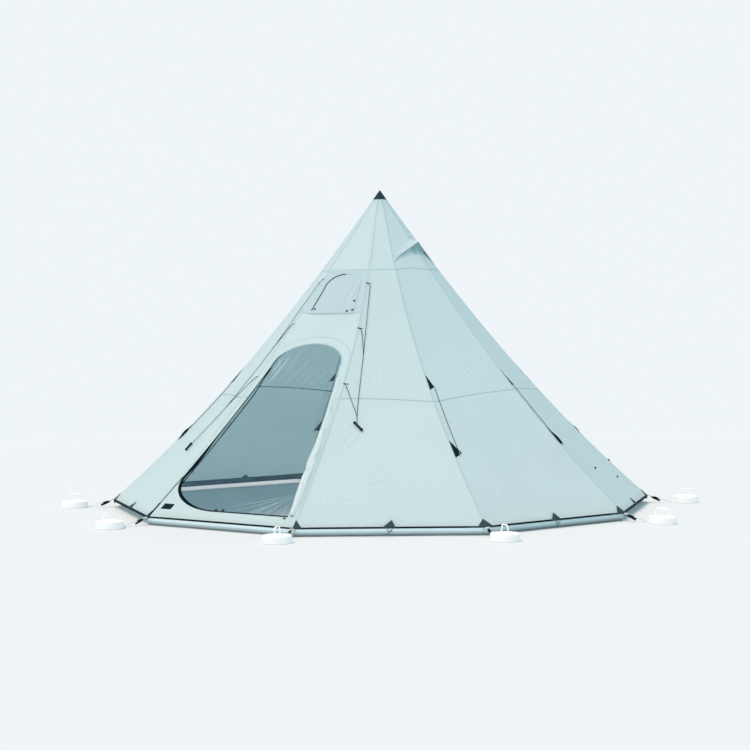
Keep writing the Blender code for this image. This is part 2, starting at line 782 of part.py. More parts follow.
def pole(metal, plastic):
    """Foot, three telescoping sections and a head that lifts the crown."""
    middle_radius = POLE_LOWER_RADIUS - POLE_WALL - POLE_CLEARANCE
    upper_radius = middle_radius - POLE_WALL - POLE_CLEARANCE
    socket = POLE_LOWER_RADIUS + POLE_CLEARANCE
    foot = [
        (0.0, 0.0),
        (FOOT_RADIUS, 0.0),
        (FOOT_RADIUS, FOOT_FLOOR),
        (socket + FOOT_WALL, FOOT_HEIGHT),
        (socket, FOOT_HEIGHT),
        (socket, FOOT_FLOOR),
        (0.0, FOOT_FLOOR),
    ]
    node("pole_foot", turned_mesh("pole_foot", foot, POLE_SEGMENTS), plastic, smooth=True)
    pole_tube("pole_lower_tube", POLE_LOWER_RADIUS, FOOT_FLOOR + GAP, POLE_LOWER_TOP, True, metal)
    pole_tube("pole_middle_tube", middle_radius, POLE_LOWER_TOP - POLE_OVERLAP, POLE_MIDDLE_TOP, True, metal)
    socket = upper_radius + POLE_CLEARANCE
    shoulder = seat_height(HEAD_RADIUS)
    tip = seat_height(HEAD_TIP_RADIUS)
    upper_top = shoulder - HEAD_RIM
    pole_tube("pole_upper_tube", upper_radius, POLE_MIDDLE_TOP - POLE_OVERLAP, upper_top, False, metal)
    head = [
        (socket, upper_top - HEAD_SOCKET_DEPTH),
        (HEAD_SOCKET_RADIUS, upper_top - HEAD_SOCKET_DEPTH),
        (HEAD_RADIUS, upper_top),
        (HEAD_RADIUS, shoulder),
        (HEAD_TIP_RADIUS, tip),
        (0.0, tip),
        (0.0, upper_top + GAP),
        (socket, upper_top + GAP),
    ]
    node("pole_head", turned_mesh("pole_head", head, POLE_SEGMENTS), plastic, smooth=True)


def weight_mesh():
    """A round weight with a bail handle in line with the ridge and a lug for the strap."""
    r, h, e = WEIGHT_RADIUS, WEIGHT_HEIGHT, WEIGHT_EDGE
    profile = [(0.0, 0.0), (r - e / 2, 0.0), (r, e / 2), (r, h - e), (r - e, h), (0.0, h)]
    disc = turned_mesh("disc", profile, WEIGHT_SEGMENTS)
    foot, top = HANDLE_FOOT_SPAN / 2, HANDLE_TOP_SPAN / 2
    rise = h + HANDLE_RISE - HANDLE_ROD_RADIUS
    route = [
        Vector((0.0, -foot, h - HANDLE_SINK)),
        Vector((0.0, -top - (foot - top) * HANDLE_BEND / HANDLE_RISE, rise - HANDLE_BEND)),
        Vector((0.0, -top + HANDLE_BEND * 0.3, rise - HANDLE_BEND * 0.3)),
        Vector((0.0, -top + HANDLE_BEND, rise)),
    ]
    route += [Vector((0.0, -point.y, point.z)) for point in reversed(route)]
    handle = cord_mesh("handle", route, HANDLE_ROD_RADIUS)
    lug_inner = r - LUG_LENGTH / 2
    lug_outer = r + LUG_LENGTH
    lug = block_mesh(
        "lug",
        Vector((0.0, (lug_inner + lug_outer) / 2, LUG_HEIGHT / 2 + GAP)),
        Vector((LUG_WIDTH, 0.0, 0.0)),
        Vector((0.0, lug_outer - lug_inner, 0.0)),
        Vector((0.0, 0.0, LUG_HEIGHT)),
    )
    return joined_mesh("ballast_weight", [disc, handle, lug])


def strap_mesh():
    """Webbing from a hem corner down to a weight's lug, with a ladder-lock buckle near the hem."""
    start_height = HEM_HEIGHT + STRAP_HEM_RISE
    start_radius = canopy_radius(start_height - STRAP_THICKNESS / 2) + WEBBING + 4 * GAP
    end_radius = WEIGHT_RING_RADIUS - WEIGHT_RADIUS - LUG_LENGTH - 2 * GAP
    start = Vector((0.0, -start_radius, start_height))
    end = Vector((0.0, -end_radius, LUG_HEIGHT / 2))
    run = (end - start).normalized()
    up = Vector((1.0, 0.0, 0.0)).cross(run).normalized()
    buckle_end = BUCKLE_START + BUCKLE_LENGTH
    sections = [
        (0.0, STRAP_WIDTH, STRAP_THICKNESS),
        (BUCKLE_START, STRAP_WIDTH, STRAP_THICKNESS),
        (BUCKLE_START + BUCKLE_EDGE, BUCKLE_WIDTH, BUCKLE_THICKNESS),
        (buckle_end, BUCKLE_WIDTH, BUCKLE_THICKNESS),
        (buckle_end + BUCKLE_EDGE, STRAP_WIDTH, STRAP_THICKNESS),
        ((end - start).length, STRAP_WIDTH, STRAP_THICKNESS),
    ]
    stations = []
    for distance, width, thickness in sections:
        centre = start + run * distance
        side = Vector((width / 2, 0.0, 0.0))
        top = up * thickness / 2
        stations.append([centre - side - top, centre + side - top, centre + side + top, centre - side + top])
    return tube_mesh("corner_strap", stations)


def corner_anchors(webbing, iron):
    """A strap and a weight on the line of every ridge."""
    weight = weight_mesh()
    strap = strap_mesh()
    for ridge in range(1, SIDES + 1):
        angle = azimuth(ridge)
        piece = node(f"corner_strap_{ridge:02d}", strap, webbing)
        piece.rotation_euler.z = angle
        piece = node(f"ballast_weight_{ridge:02d}", weight, iron, smooth=True)
        piece.location = outward(angle) * WEIGHT_RING_RADIUS
        piece.rotation_euler.z = angle


def slider_mesh(name, place, travel, normal):
    """A zip slider lying along its travel, just off the cloth."""
    across = normal.cross(travel).normalized()
    centre = place + normal * (REST_GAP + SLIDER_THICKNESS / 2)
    return block_mesh(name, centre, travel * SLIDER_LENGTH, across * SLIDER_WIDTH, normal * SLIDER_THICKNESS)


def door_slider_place():
    """Where the main door's slider rests, below the right end of the sill."""
    height = DOOR_SILL - DOOR_SLIDER_DROP
    return height, doorway()[0][2] - DOOR_SLIDER_INSET


def zip_sliders(plastic):
    """The outer door's slider under the sill, and the mesh door's slider on its left edge."""
    height, offset = door_slider_place()
    place = panel_point(DOOR_PANEL, height, offset)
    travel = (ridge_point(DOOR_PANEL + 1, height) - ridge_point(DOOR_PANEL, height)).normalized()
    mesh = slider_mesh("door_zip_slider", place, travel, panel_normal(DOOR_PANEL, height))
    set_origin(node("door_zip_slider", mesh, plastic), place)
    place, travel = mesh_slider_path()
    mesh = slider_mesh("mesh_zip_slider", place, travel, panel_normal(DOOR_PANEL, MESH_SLIDER_HEIGHT))
    set_origin(node("mesh_zip_slider", mesh, plastic), place)


def mesh_slider_path():
    """Start of the mesh door slider's straight run, and its direction."""
    start = panel_point(DOOR_PANEL, MESH_SLIDER_HEIGHT, DOOR_LEFT_MARGIN_LOW + MESH_SLIDER_INSET)
    end = panel_point(DOOR_PANEL, MESH_SLIDER_END_HEIGHT, DOOR_LEFT_MARGIN_HIGH + MESH_SLIDER_INSET)
    return start, (end - start).normalized()


def guy_line(ridge, material):
    """A guy line stowed between a tab and a pocket to the right of its ridge."""
    heights = spaced(GUY_TOP, GUY_FOOT, GUY_ROUTE_STEPS)
    route = [panel_point(ridge, z, GUY_OFFSET, CORD_LIFT) for z in heights]
    cord_object(f"guy_line_{ridge:02d}", smooth_path(route, GUY_POINTS), CORD_RADIUS, material)


def knot_mesh(centre):
    """A small faceted ball where cords meet."""
    shape = bmesh.new()
    bmesh.ops.create_icosphere(shape, subdivisions=1, radius=KNOT_RADIUS, matrix=Matrix.Translation(centre))
    mesh = bpy.data.meshes.new("knot")
    shape.to_mesh(mesh)
    shape.free()
    return mesh


def bridle(ridge, side, knots, ring, join, toggle, material):
    """A guy line that branches to three anchors on its ridge, with its end held by a toggle."""

    def place(offset_and_height, lift=KNOT_LIFT):
        offset, height = offset_and_height
        return beside_ridge(ridge, side, height, offset, lift)

    def leg(knot, *onward, points=BRIDLE_LEG_POINTS):
        anchor = (BRIDLE_ANCHOR_OFFSET, knot[1] + BRIDLE_ANCHOR_RISE)
        route = [place(anchor, CORD_LIFT), place(knot), *onward]
        return cord_mesh("leg", smooth_path(route, points), CORD_RADIUS)

    ring_point, join_point = place(ring), place(join)
    toggle_ends = [place(end, TOGGLE_RADIUS + GAP * 3) for end in toggle]
    tail = toggle_ends[0].lerp(toggle_ends[1], 0.4)
    first, second, third = knots
    pieces = [
        leg(first, ring_point, join_point, tail, points=BRIDLE_POINTS),
        leg(second, ring_point),
        leg(third, join_point),
        cord_mesh("toggle", toggle_ends, TOGGLE_RADIUS),
    ]
    pieces += [knot_mesh(point) for point in (ring_point, join_point, *map(place, knots))]
    name = f"guy_bridle_{ridge:02d}"
    node(name, joined_mesh(name, pieces), material)


def guy_lines(material):
    for ridge in GUY_RIDGES:
        guy_line(ridge, material)
    bridle(
        3,
        1,
        knots=[(0.032, 1.862), (0.036, 1.492), (0.031, 1.055)],
        ring=(0.091, 1.322),
        join=(0.176, 0.841),
        toggle=[(0.167, 0.793), (0.254, 0.730)],
        material=material,
    )
    bridle(
        2,
        -1,
        knots=[(0.032, 1.900), (0.030, 1.527), (0.045, 1.098)],
        ring=(0.110, 1.361),
        join=(0.252, 0.887),
        toggle=[(0.432, 0.590), (0.450, 0.500)],
        material=material,
    )


def build():
    """Model every piece of the tent."""
    clear_scene()
    cloth = finish("canopy_cloth", (0.60, 0.75, 0.78), 0.85)
    mesh_cloth = finish("insect_mesh", (0.17, 0.27, 0.31), 0.90)
    webbing = finish("slate_webbing", (0.03, 0.05, 0.06), 0.90)
    cord = finish("guy_cord", (0.05, 0.08, 0.09), 0.80)
    plastic = finish("black_plastic", (0.02, 0.02, 0.02), 0.45)
    metal = finish("pole_aluminium", (0.75, 0.76, 0.78), 0.35, 1.0)
    iron = finish("white_painted_iron", (0.85, 0.87, 0.88), 0.50)
    for panel in range(1, SIDES + 1):
        item = canopy_panel(panel, cloth)
        if panel == DOOR_PANEL:
            cut_doorway_and_window(item)
    crown_and_vent(cloth, mesh_cloth)
    apex_cap(webbing)
    hem_webbing(webbing)
    mesh_door(mesh_cloth)
    door_roll(cloth)
    window_pieces(mesh_cloth, cloth)
    vent_hood(cloth)
    vent_prop(plastic)
    for panel in SKIRT_PANELS:
        ground_skirt(panel, cloth)
    pole(metal, plastic)
    corner_anchors(webbing, iron)
    zip_sliders(plastic)
    guy_lines(cord)


build()
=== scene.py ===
# %% [markdown]
# # Dressing a ten-sided tipi tent
#
# The tent arrives as plain solids that already have the right size, place and joints. This notebook
# gives it the cloth, netting, webbing, cord and painted iron that a camper would touch. It first loads
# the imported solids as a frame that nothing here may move. All lengths are in metres, the pole stands on
# the origin, +Z is up and the tent's front looks along -Y.

import json
import math

import bmesh
import bpy
import numpy as np
from mathutils import Matrix, Vector
from mathutils.geometry import delaunay_2d_cdt
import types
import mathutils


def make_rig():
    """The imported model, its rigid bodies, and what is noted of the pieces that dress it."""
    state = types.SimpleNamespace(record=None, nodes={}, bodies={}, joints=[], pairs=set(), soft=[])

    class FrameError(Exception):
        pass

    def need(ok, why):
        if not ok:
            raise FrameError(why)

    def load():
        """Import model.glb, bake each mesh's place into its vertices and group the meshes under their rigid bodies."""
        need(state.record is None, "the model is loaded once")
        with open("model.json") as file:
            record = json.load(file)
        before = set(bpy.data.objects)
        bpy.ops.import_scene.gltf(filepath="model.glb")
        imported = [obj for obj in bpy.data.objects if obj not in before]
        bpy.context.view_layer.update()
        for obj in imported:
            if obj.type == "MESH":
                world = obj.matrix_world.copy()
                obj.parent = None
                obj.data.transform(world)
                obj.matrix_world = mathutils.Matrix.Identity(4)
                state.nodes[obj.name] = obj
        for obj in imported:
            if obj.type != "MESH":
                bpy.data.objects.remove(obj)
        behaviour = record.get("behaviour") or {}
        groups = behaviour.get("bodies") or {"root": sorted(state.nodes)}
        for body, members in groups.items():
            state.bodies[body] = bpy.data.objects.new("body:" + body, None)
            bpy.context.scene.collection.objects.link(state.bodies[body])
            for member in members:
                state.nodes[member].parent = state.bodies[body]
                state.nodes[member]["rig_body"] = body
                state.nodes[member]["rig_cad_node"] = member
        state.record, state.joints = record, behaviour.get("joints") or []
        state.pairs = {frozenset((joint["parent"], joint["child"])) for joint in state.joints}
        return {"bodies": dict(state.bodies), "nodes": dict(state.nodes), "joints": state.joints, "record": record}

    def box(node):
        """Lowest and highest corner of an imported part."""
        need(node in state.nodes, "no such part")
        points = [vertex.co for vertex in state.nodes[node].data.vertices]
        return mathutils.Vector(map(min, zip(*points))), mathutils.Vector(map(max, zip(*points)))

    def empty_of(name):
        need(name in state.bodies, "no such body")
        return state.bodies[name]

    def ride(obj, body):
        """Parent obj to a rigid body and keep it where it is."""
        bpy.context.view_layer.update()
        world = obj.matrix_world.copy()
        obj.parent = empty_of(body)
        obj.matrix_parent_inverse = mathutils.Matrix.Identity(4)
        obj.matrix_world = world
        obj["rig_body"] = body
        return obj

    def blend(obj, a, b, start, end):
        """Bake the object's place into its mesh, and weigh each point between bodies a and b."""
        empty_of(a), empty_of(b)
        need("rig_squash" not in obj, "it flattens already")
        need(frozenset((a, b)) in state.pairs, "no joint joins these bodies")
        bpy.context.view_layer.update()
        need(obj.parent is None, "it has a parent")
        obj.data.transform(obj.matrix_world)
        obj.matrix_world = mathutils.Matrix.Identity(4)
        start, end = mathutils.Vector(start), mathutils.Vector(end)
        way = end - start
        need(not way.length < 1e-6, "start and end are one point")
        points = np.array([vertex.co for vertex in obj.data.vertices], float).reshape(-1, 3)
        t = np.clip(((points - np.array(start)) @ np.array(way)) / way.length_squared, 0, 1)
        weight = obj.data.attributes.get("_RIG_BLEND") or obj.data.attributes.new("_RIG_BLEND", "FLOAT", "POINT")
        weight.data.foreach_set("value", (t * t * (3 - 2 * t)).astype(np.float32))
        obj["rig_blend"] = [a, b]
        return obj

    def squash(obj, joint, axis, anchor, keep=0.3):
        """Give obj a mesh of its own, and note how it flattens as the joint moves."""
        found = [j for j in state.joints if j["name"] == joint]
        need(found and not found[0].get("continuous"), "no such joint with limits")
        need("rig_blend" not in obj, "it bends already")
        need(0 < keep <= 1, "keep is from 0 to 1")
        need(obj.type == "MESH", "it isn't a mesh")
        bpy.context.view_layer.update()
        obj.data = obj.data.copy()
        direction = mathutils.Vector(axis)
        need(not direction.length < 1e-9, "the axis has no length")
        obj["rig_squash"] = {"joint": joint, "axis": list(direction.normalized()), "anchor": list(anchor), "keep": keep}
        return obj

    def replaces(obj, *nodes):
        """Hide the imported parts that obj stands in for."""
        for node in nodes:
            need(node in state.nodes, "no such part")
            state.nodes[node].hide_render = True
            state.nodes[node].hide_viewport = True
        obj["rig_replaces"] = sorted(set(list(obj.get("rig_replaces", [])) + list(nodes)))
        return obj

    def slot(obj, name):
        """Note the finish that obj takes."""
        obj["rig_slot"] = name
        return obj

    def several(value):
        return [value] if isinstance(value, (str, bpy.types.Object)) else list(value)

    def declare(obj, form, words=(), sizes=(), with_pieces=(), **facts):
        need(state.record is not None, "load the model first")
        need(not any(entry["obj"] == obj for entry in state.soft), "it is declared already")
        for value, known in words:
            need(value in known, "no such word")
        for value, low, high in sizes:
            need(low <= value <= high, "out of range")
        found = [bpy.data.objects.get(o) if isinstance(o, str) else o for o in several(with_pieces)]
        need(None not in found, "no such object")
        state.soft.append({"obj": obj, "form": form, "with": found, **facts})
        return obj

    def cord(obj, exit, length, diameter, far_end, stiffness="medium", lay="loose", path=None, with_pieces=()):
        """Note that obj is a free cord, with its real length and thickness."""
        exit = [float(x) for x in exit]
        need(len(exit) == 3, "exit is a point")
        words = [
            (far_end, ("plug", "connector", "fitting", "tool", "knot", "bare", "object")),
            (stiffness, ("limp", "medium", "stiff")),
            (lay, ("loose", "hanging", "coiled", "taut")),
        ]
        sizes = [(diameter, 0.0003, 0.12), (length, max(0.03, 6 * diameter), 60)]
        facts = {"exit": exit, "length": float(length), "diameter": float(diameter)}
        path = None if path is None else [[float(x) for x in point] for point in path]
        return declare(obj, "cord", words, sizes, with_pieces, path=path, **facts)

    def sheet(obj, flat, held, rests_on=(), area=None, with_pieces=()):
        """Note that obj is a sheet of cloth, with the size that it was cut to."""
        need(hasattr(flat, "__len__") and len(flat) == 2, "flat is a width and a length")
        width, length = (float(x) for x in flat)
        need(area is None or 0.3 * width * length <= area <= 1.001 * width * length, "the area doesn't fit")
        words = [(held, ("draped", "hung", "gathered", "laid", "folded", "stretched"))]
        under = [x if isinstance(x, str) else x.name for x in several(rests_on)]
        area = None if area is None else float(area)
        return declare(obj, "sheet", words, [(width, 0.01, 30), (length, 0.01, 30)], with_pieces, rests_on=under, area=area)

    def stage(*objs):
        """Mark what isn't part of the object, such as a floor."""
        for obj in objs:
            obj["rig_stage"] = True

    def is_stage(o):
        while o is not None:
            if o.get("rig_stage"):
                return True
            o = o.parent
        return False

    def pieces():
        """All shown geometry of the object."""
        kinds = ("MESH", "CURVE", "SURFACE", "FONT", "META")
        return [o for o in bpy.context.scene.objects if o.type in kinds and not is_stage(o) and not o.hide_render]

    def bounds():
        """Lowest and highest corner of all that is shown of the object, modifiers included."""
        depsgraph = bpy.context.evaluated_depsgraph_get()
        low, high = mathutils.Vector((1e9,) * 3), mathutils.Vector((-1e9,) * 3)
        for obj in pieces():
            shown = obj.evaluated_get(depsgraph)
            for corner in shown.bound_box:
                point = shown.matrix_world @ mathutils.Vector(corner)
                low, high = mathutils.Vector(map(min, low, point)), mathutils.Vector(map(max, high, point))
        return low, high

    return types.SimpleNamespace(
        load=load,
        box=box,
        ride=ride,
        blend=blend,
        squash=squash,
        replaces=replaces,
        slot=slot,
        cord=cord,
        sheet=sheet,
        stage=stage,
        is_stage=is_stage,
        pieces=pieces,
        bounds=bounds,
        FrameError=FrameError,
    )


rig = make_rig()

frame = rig.load()
packed_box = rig.bounds()
print("solids:", len(frame["nodes"]), "bodies:", sorted(frame["bodies"]))

# %% [markdown]
# ## The camera
#
# A long lens from far away keeps the tent's sides nearly parallel, as in a catalogue picture. The
# camera stands at the height of a person's chest, a little left of the tent, and looks slightly down.
# Its turn is built from three small angles, so that each can be changed alone.

# %% Camera
CAMERA_PLACE = Vector((-0.3902, -14.5061, 1.5451))
CAMERA_HEADING = math.radians(1.342)
CAMERA_PITCH = math.radians(-1.6846)
CAMERA_ROLL = math.radians(-0.3387)
CAMERA_LENS = 81.105
CAMERA_FAR = 200.0

camera = bpy.data.objects.new("camera", bpy.data.cameras.new("camera"))
bpy.context.scene.collection.objects.link(camera)
camera.data.lens = CAMERA_LENS
camera.data.clip_end = CAMERA_FAR
camera.matrix_world = (
    Matrix.Translation(CAMERA_PLACE)
    @ Matrix.Rotation(-CAMERA_HEADING, 4, "Z")
    @ Matrix.Rotation(math.radians(90) + CAMERA_PITCH, 4, "X")
    @ Matrix.Rotation(CAMERA_ROLL, 4, "Z")
)
bpy.context.scene.camera = camera
print("camera at", [round(value, 3) for value in CAMERA_PLACE])

# %% [markdown]
# ## The shape of the canopy
#
# Ten straight-sided panels would give a stiff pyramid. Real cloth that is pulled between a pole and
# pegs sags inwards in a long curve, so the distance from the pole to each ridge follows a parabola
# taken off a straight slope. Three ridges beside the door also lean sideways, because the door panel is
# cut wider. These few formulas place everything that is sewn to the cloth.

# %% Ridges of the canopy
SIDES = 10
HEM_RADIUS = 2.300
HEM_HEIGHT = 0.060
APEX_HEIGHT = 2.700
SLOPE_SAG = 0.140
SLOPE_SAG_SKEW = 0.25
FRONT_RIDGE = 3.5
DOOR_PANEL = 2
RIDGE_SWAY = {2: -0.070, 3: 0.075, 4: -0.060}
SWAY_FADE_POWER = 8
SLOPE_STEP = 0.010
UP = np.array([0.0, 0.0, 1.0])


def azimuth(ridge):
    """Angle of a ridge about the pole, from the front towards +X."""
    return 2 * math.pi / SIDES * (ridge - FRONT_RIDGE)


def outward(angle):
    return np.array([math.sin(angle), -math.cos(angle), 0.0])


def sideways(angle):
    return np.array([math.cos(angle), math.sin(angle), 0.0])


def canopy_radius(height):
    """Distance from the pole to a ridge."""
    t = (APEX_HEIGHT - height) / (APEX_HEIGHT - HEM_HEIGHT)
    return HEM_RADIUS * t - 4 * SLOPE_SAG * t * (1 - t) * (1 + SLOPE_SAG_SKEW * (2 * t - 1))


def ridge_point(ridge, height, lift=0.0):
    """Points on a ridge at these heights, moved straight away from the pole by a lift."""
    height = np.asarray(height, float)
    t = (APEX_HEIGHT - height) / (APEX_HEIGHT - HEM_HEIGHT)
    fade = 1 - (1 - t) ** SWAY_FADE_POWER
    sway = RIDGE_SWAY.get((ridge - 1) % SIDES + 1, 0.0) * 4 * t * (1 - t) * fade
    angle = azimuth(ridge)
    away = np.multiply.outer(canopy_radius(height) + lift, outward(angle))
    return away + np.multiply.outer(sway, sideways(angle)) + np.multiply.outer(height, UP)


def unit(vectors):
    return vectors / np.linalg.norm(vectors, axis=-1, keepdims=True)


def panel_axes(panel, height):
    """Left ridge, direction to the right ridge, direction out of the cloth, and width."""
    height = np.asarray(height, float)
    left = ridge_point(panel, height)
    across = ridge_point(panel + 1, height) - left
    above = ridge_point(panel, height + SLOPE_STEP) + ridge_point(panel + 1, height + SLOPE_STEP)
    below = ridge_point(panel, height - SLOPE_STEP) + ridge_point(panel + 1, height - SLOPE_STEP)
    width = np.linalg.norm(across, axis=-1)
    return left, unit(across), unit(np.cross(across, above - below)), width


def panel_width(panel, height):
    return panel_axes(panel, height)[3]


def flat_point(panel, height, offset, lift=0.0):
    """Points on a panel before it has any folds, by their distance from its left ridge."""
    left, along, normal, _ = panel_axes(panel, height)
    return left + along * np.asarray(offset, float)[..., None] + normal * np.asarray(lift, float)[..., None]


def path_length(path):
    return float(np.linalg.norm(np.diff(np.asarray(path), axis=0), axis=1).sum())


def ridge_slope_length(low, high, steps=40):
    """Length of cloth along a ridge between two heights."""
    return path_length(ridge_point(FRONT_RIDGE, np.linspace(low, high, steps)))


low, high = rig.box("canopy_panel_03")
print("hem in the frame:", round(low.z, 4), "formula:", HEM_HEIGHT)
print("cloth along a ridge:", round(ridge_slope_length(HEM_HEIGHT, APEX_HEIGHT), 3))

# %% [markdown]
# ## Guy lines
#
# Each storm line is a thin braided cord. It is stowed along its ridge, pulled straight between a
# webbing tab and a pocket, so it needs no simulation: a smooth curve through the same few points as
# the frame's cord lies where the real one does. A bevelled curve gives it its round section.

# %% Smooth curves and pieces on bodies
SHARP_ANGLE = math.radians(38)
CORD_SIDES = 3


def smooth_path(route, count):
    """Points along a Catmull-Rom curve through the route's own points."""
    route = np.asarray(route, float)
    ends = np.vstack([2 * route[0] - route[1], route, 2 * route[-1] - route[-2]])
    spans = len(route) - 1
    place = np.linspace(0, spans, count)
    span = np.minimum(place.astype(int), spans - 1)
    t = (place - span)[:, None]
    a, b, c, d = (ends[span + i] for i in range(4))
    return 0.5 * (2 * b + (c - a) * t + (2 * a - 5 * b + 4 * c - d) * t**2 + (3 * b - a - 3 * c + d) * t**3)


def show(name, data, body, slot, replaced=(), bend=None):
    """Put a mesh or curve in the scene, riding on a body and standing for solids of the frame.

    With bend, two points, it stays with the root before the first and moves with the body past the other.
    """
    item = bpy.data.objects.new(name, data)
    bpy.context.scene.collection.objects.link(item)
    if bend:
        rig.blend(item, "root", body, start=tuple(bend[0]), end=tuple(bend[1]))
    else:
        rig.ride(item, body)
    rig.slot(item, slot)
    if replaced:
        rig.replaces(item, *replaced)
    return item


def cord_curve(name, path, radius):
    """A cord of one open spline with a round section and closed ends."""
    curve = bpy.data.curves.new(name, "CURVE")
    curve.dimensions = "3D"
    # The radius sits on the points, because Blender pads a curve's box by the radius of its points.
    curve.bevel_depth = 1.0
    curve.bevel_resolution = CORD_SIDES
    curve.use_fill_caps = True
    spline = curve.splines.new("POLY")
    spline.points.add(len(path) - 1)
    for knot, point in zip(spline.points, path):
        knot.co = (*point, 1.0)
        knot.radius = radius
    return curve


# %% Stowed lines beside eight ridges
CORD_RADIUS = 0.0021
CORD_LIFT = 0.0022
GUY_TOP = 1.050
GUY_FOOT = 0.572
GUY_RIDGES = (4, 5, 6, 7, 8, 9, 10, 1)
GUY_OFFSET = 0.052
GUY_POINTS = 24

cords = []
for ridge in GUY_RIDGES:
    heights = np.linspace(GUY_TOP, GUY_FOOT, 5)
    route = flat_point(ridge, heights, np.full(5, GUY_OFFSET), np.full(5, CORD_LIFT))
    path = smooth_path(route, GUY_POINTS)
    name = f"guy_line_{ridge:02d}"
    line = show(f"stowed_line_{ridge:02d}", cord_curve(name, path, CORD_RADIUS), "root", "guy_cord", [name])
    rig.cord(
        line,
        exit=path[0],
        length=path_length(path),
        diameter=2 * CORD_RADIUS,
        far_end="object",
        stiffness="limp",
        lay="taut",
    )
    cords.append(line)
print("stowed lines:", len(cords), "each about", round(path_length(path), 3), "m")

# %% [markdown]
# Beside the two ridges of the door panel the lines branch. A main cord runs from its top anchor down
# to a toggle, and two more cords join it, so a pull on one line holds the ridge at three points. The
# routes follow the frame's points, with three more under the top knot. Each small ball is a knot, and
# the toggle is the tensioner.

# %% Branched lines beside the door
KNOT_LIFT = 0.0056
BRIDLE_ANCHOR_OFFSET = 0.004
BRIDLE_ANCHOR_RISE = 0.030
BRIDLE_POINTS = 40
BRIDLE_EASE = (0.06, 0.20, 0.50)
BRIDLE_LEG_POINTS = 16
# The cord's end lies inside the toggle, at this share of its length.
BRIDLE_TAIL_SHARE = 0.75
TOGGLE_RADIUS = 0.0115
TOGGLE_LIFT = TOGGLE_RADIUS + 0.0009
BRIDLES = {
    3: {
        "side": 1,
        "knots": [(0.032, 1.862), (0.036, 1.492), (0.031, 1.055)],
        "ring": (0.091, 1.322),
        "join": (0.176, 0.841),
        "toggle": [(0.167, 0.793), (0.254, 0.730)],
    },
    2: {
        "side": -1,
        "knots": [(0.032, 1.900), (0.030, 1.527), (0.045, 1.098)],
        "ring": (0.110, 1.361),
        "join": (0.252, 0.887),
        "toggle": [(0.434, 0.578), (0.446, 0.520)],
    },
}


def beside_ridge(ridge, side, place, lift):
    """A point beside a ridge, as (distance, height), on its right (1) or left (-1)."""
    offset, height = place
    if side > 0:
        return flat_point(ridge, height, offset, lift)
    return flat_point(ridge - 1, height, panel_width(ridge - 1, height) - offset, lift)


def bridle_cord(ridge, number, route, points, far_end):
    """One cord of a branched line, declared with its real length."""
    path = smooth_path(route, points)
    name = f"branched_line_{ridge:02d}_{number}"
    line = show(name, cord_curve(name, path, CORD_RADIUS), "root", "guy_cord", [f"guy_bridle_{ridge:02d}"])
    facts = {"exit": path[0], "length": path_length(path), "diameter": 2 * CORD_RADIUS}
    return line, {**facts, "far_end": far_end, "stiffness": "limp", "lay": "taut"}


bridle_places = {}
declared_later = []
for ridge, plan in BRIDLES.items():
    side = plan["side"]
    knots = [beside_ridge(ridge, side, place, KNOT_LIFT) for place in plan["knots"]]
    anchors = [
        beside_ridge(ridge, side, (BRIDLE_ANCHOR_OFFSET, height + BRIDLE_ANCHOR_RISE), CORD_LIFT)
        for _, height in plan["knots"]
    ]
    ring = beside_ridge(ridge, side, plan["ring"], KNOT_LIFT)
    join = beside_ridge(ridge, side, plan["join"], KNOT_LIFT)
    toggle = [beside_ridge(ridge, side, place, TOGGLE_LIFT) for place in plan["toggle"]]
    tail = toggle[0] * (1 - BRIDLE_TAIL_SHARE) + toggle[1] * BRIDLE_TAIL_SHARE
    # Points that come closer towards the top knot keep the curve from swinging out there.
    eased = [knots[0] + (ring - knots[0]) * share for share in BRIDLE_EASE]
    routes = [
        ([anchors[0], knots[0], *eased, ring, join, tail], BRIDLE_POINTS, "fitting"),
        ([anchors[1], knots[1], ring], BRIDLE_LEG_POINTS, "knot"),
        ([anchors[2], knots[2], join], BRIDLE_LEG_POINTS, "knot"),
    ]
    for number, (route, points, far_end) in enumerate(routes, 1):
        line, facts = bridle_cord(ridge, number, route, points, far_end)
        declared_later.append((ridge, line, facts))
        cords.append(line)
    bridle_places[ridge] = {"knots": knots, "anchors": anchors, "ring": ring, "join": join, "toggle": toggle}
print("branched cords:", len(declared_later))

# %% [markdown]
# ## Meshes from swept shapes
#
# Most of the trim is a strip, a patch or a rod that follows the cloth. A small batch collects such
# shapes into one mesh and measures a UV map in metres on the way, so that a weave or a row of stitches
# can follow each strip. It keeps the number of objects low without fusing anything that moves apart.

# %% A batch of swept shapes
def walked(points):
    """Distance along a row of points, from 0 at the first."""
    return np.concatenate([[0.0], np.cumsum(np.linalg.norm(np.diff(points, axis=0), axis=1))])


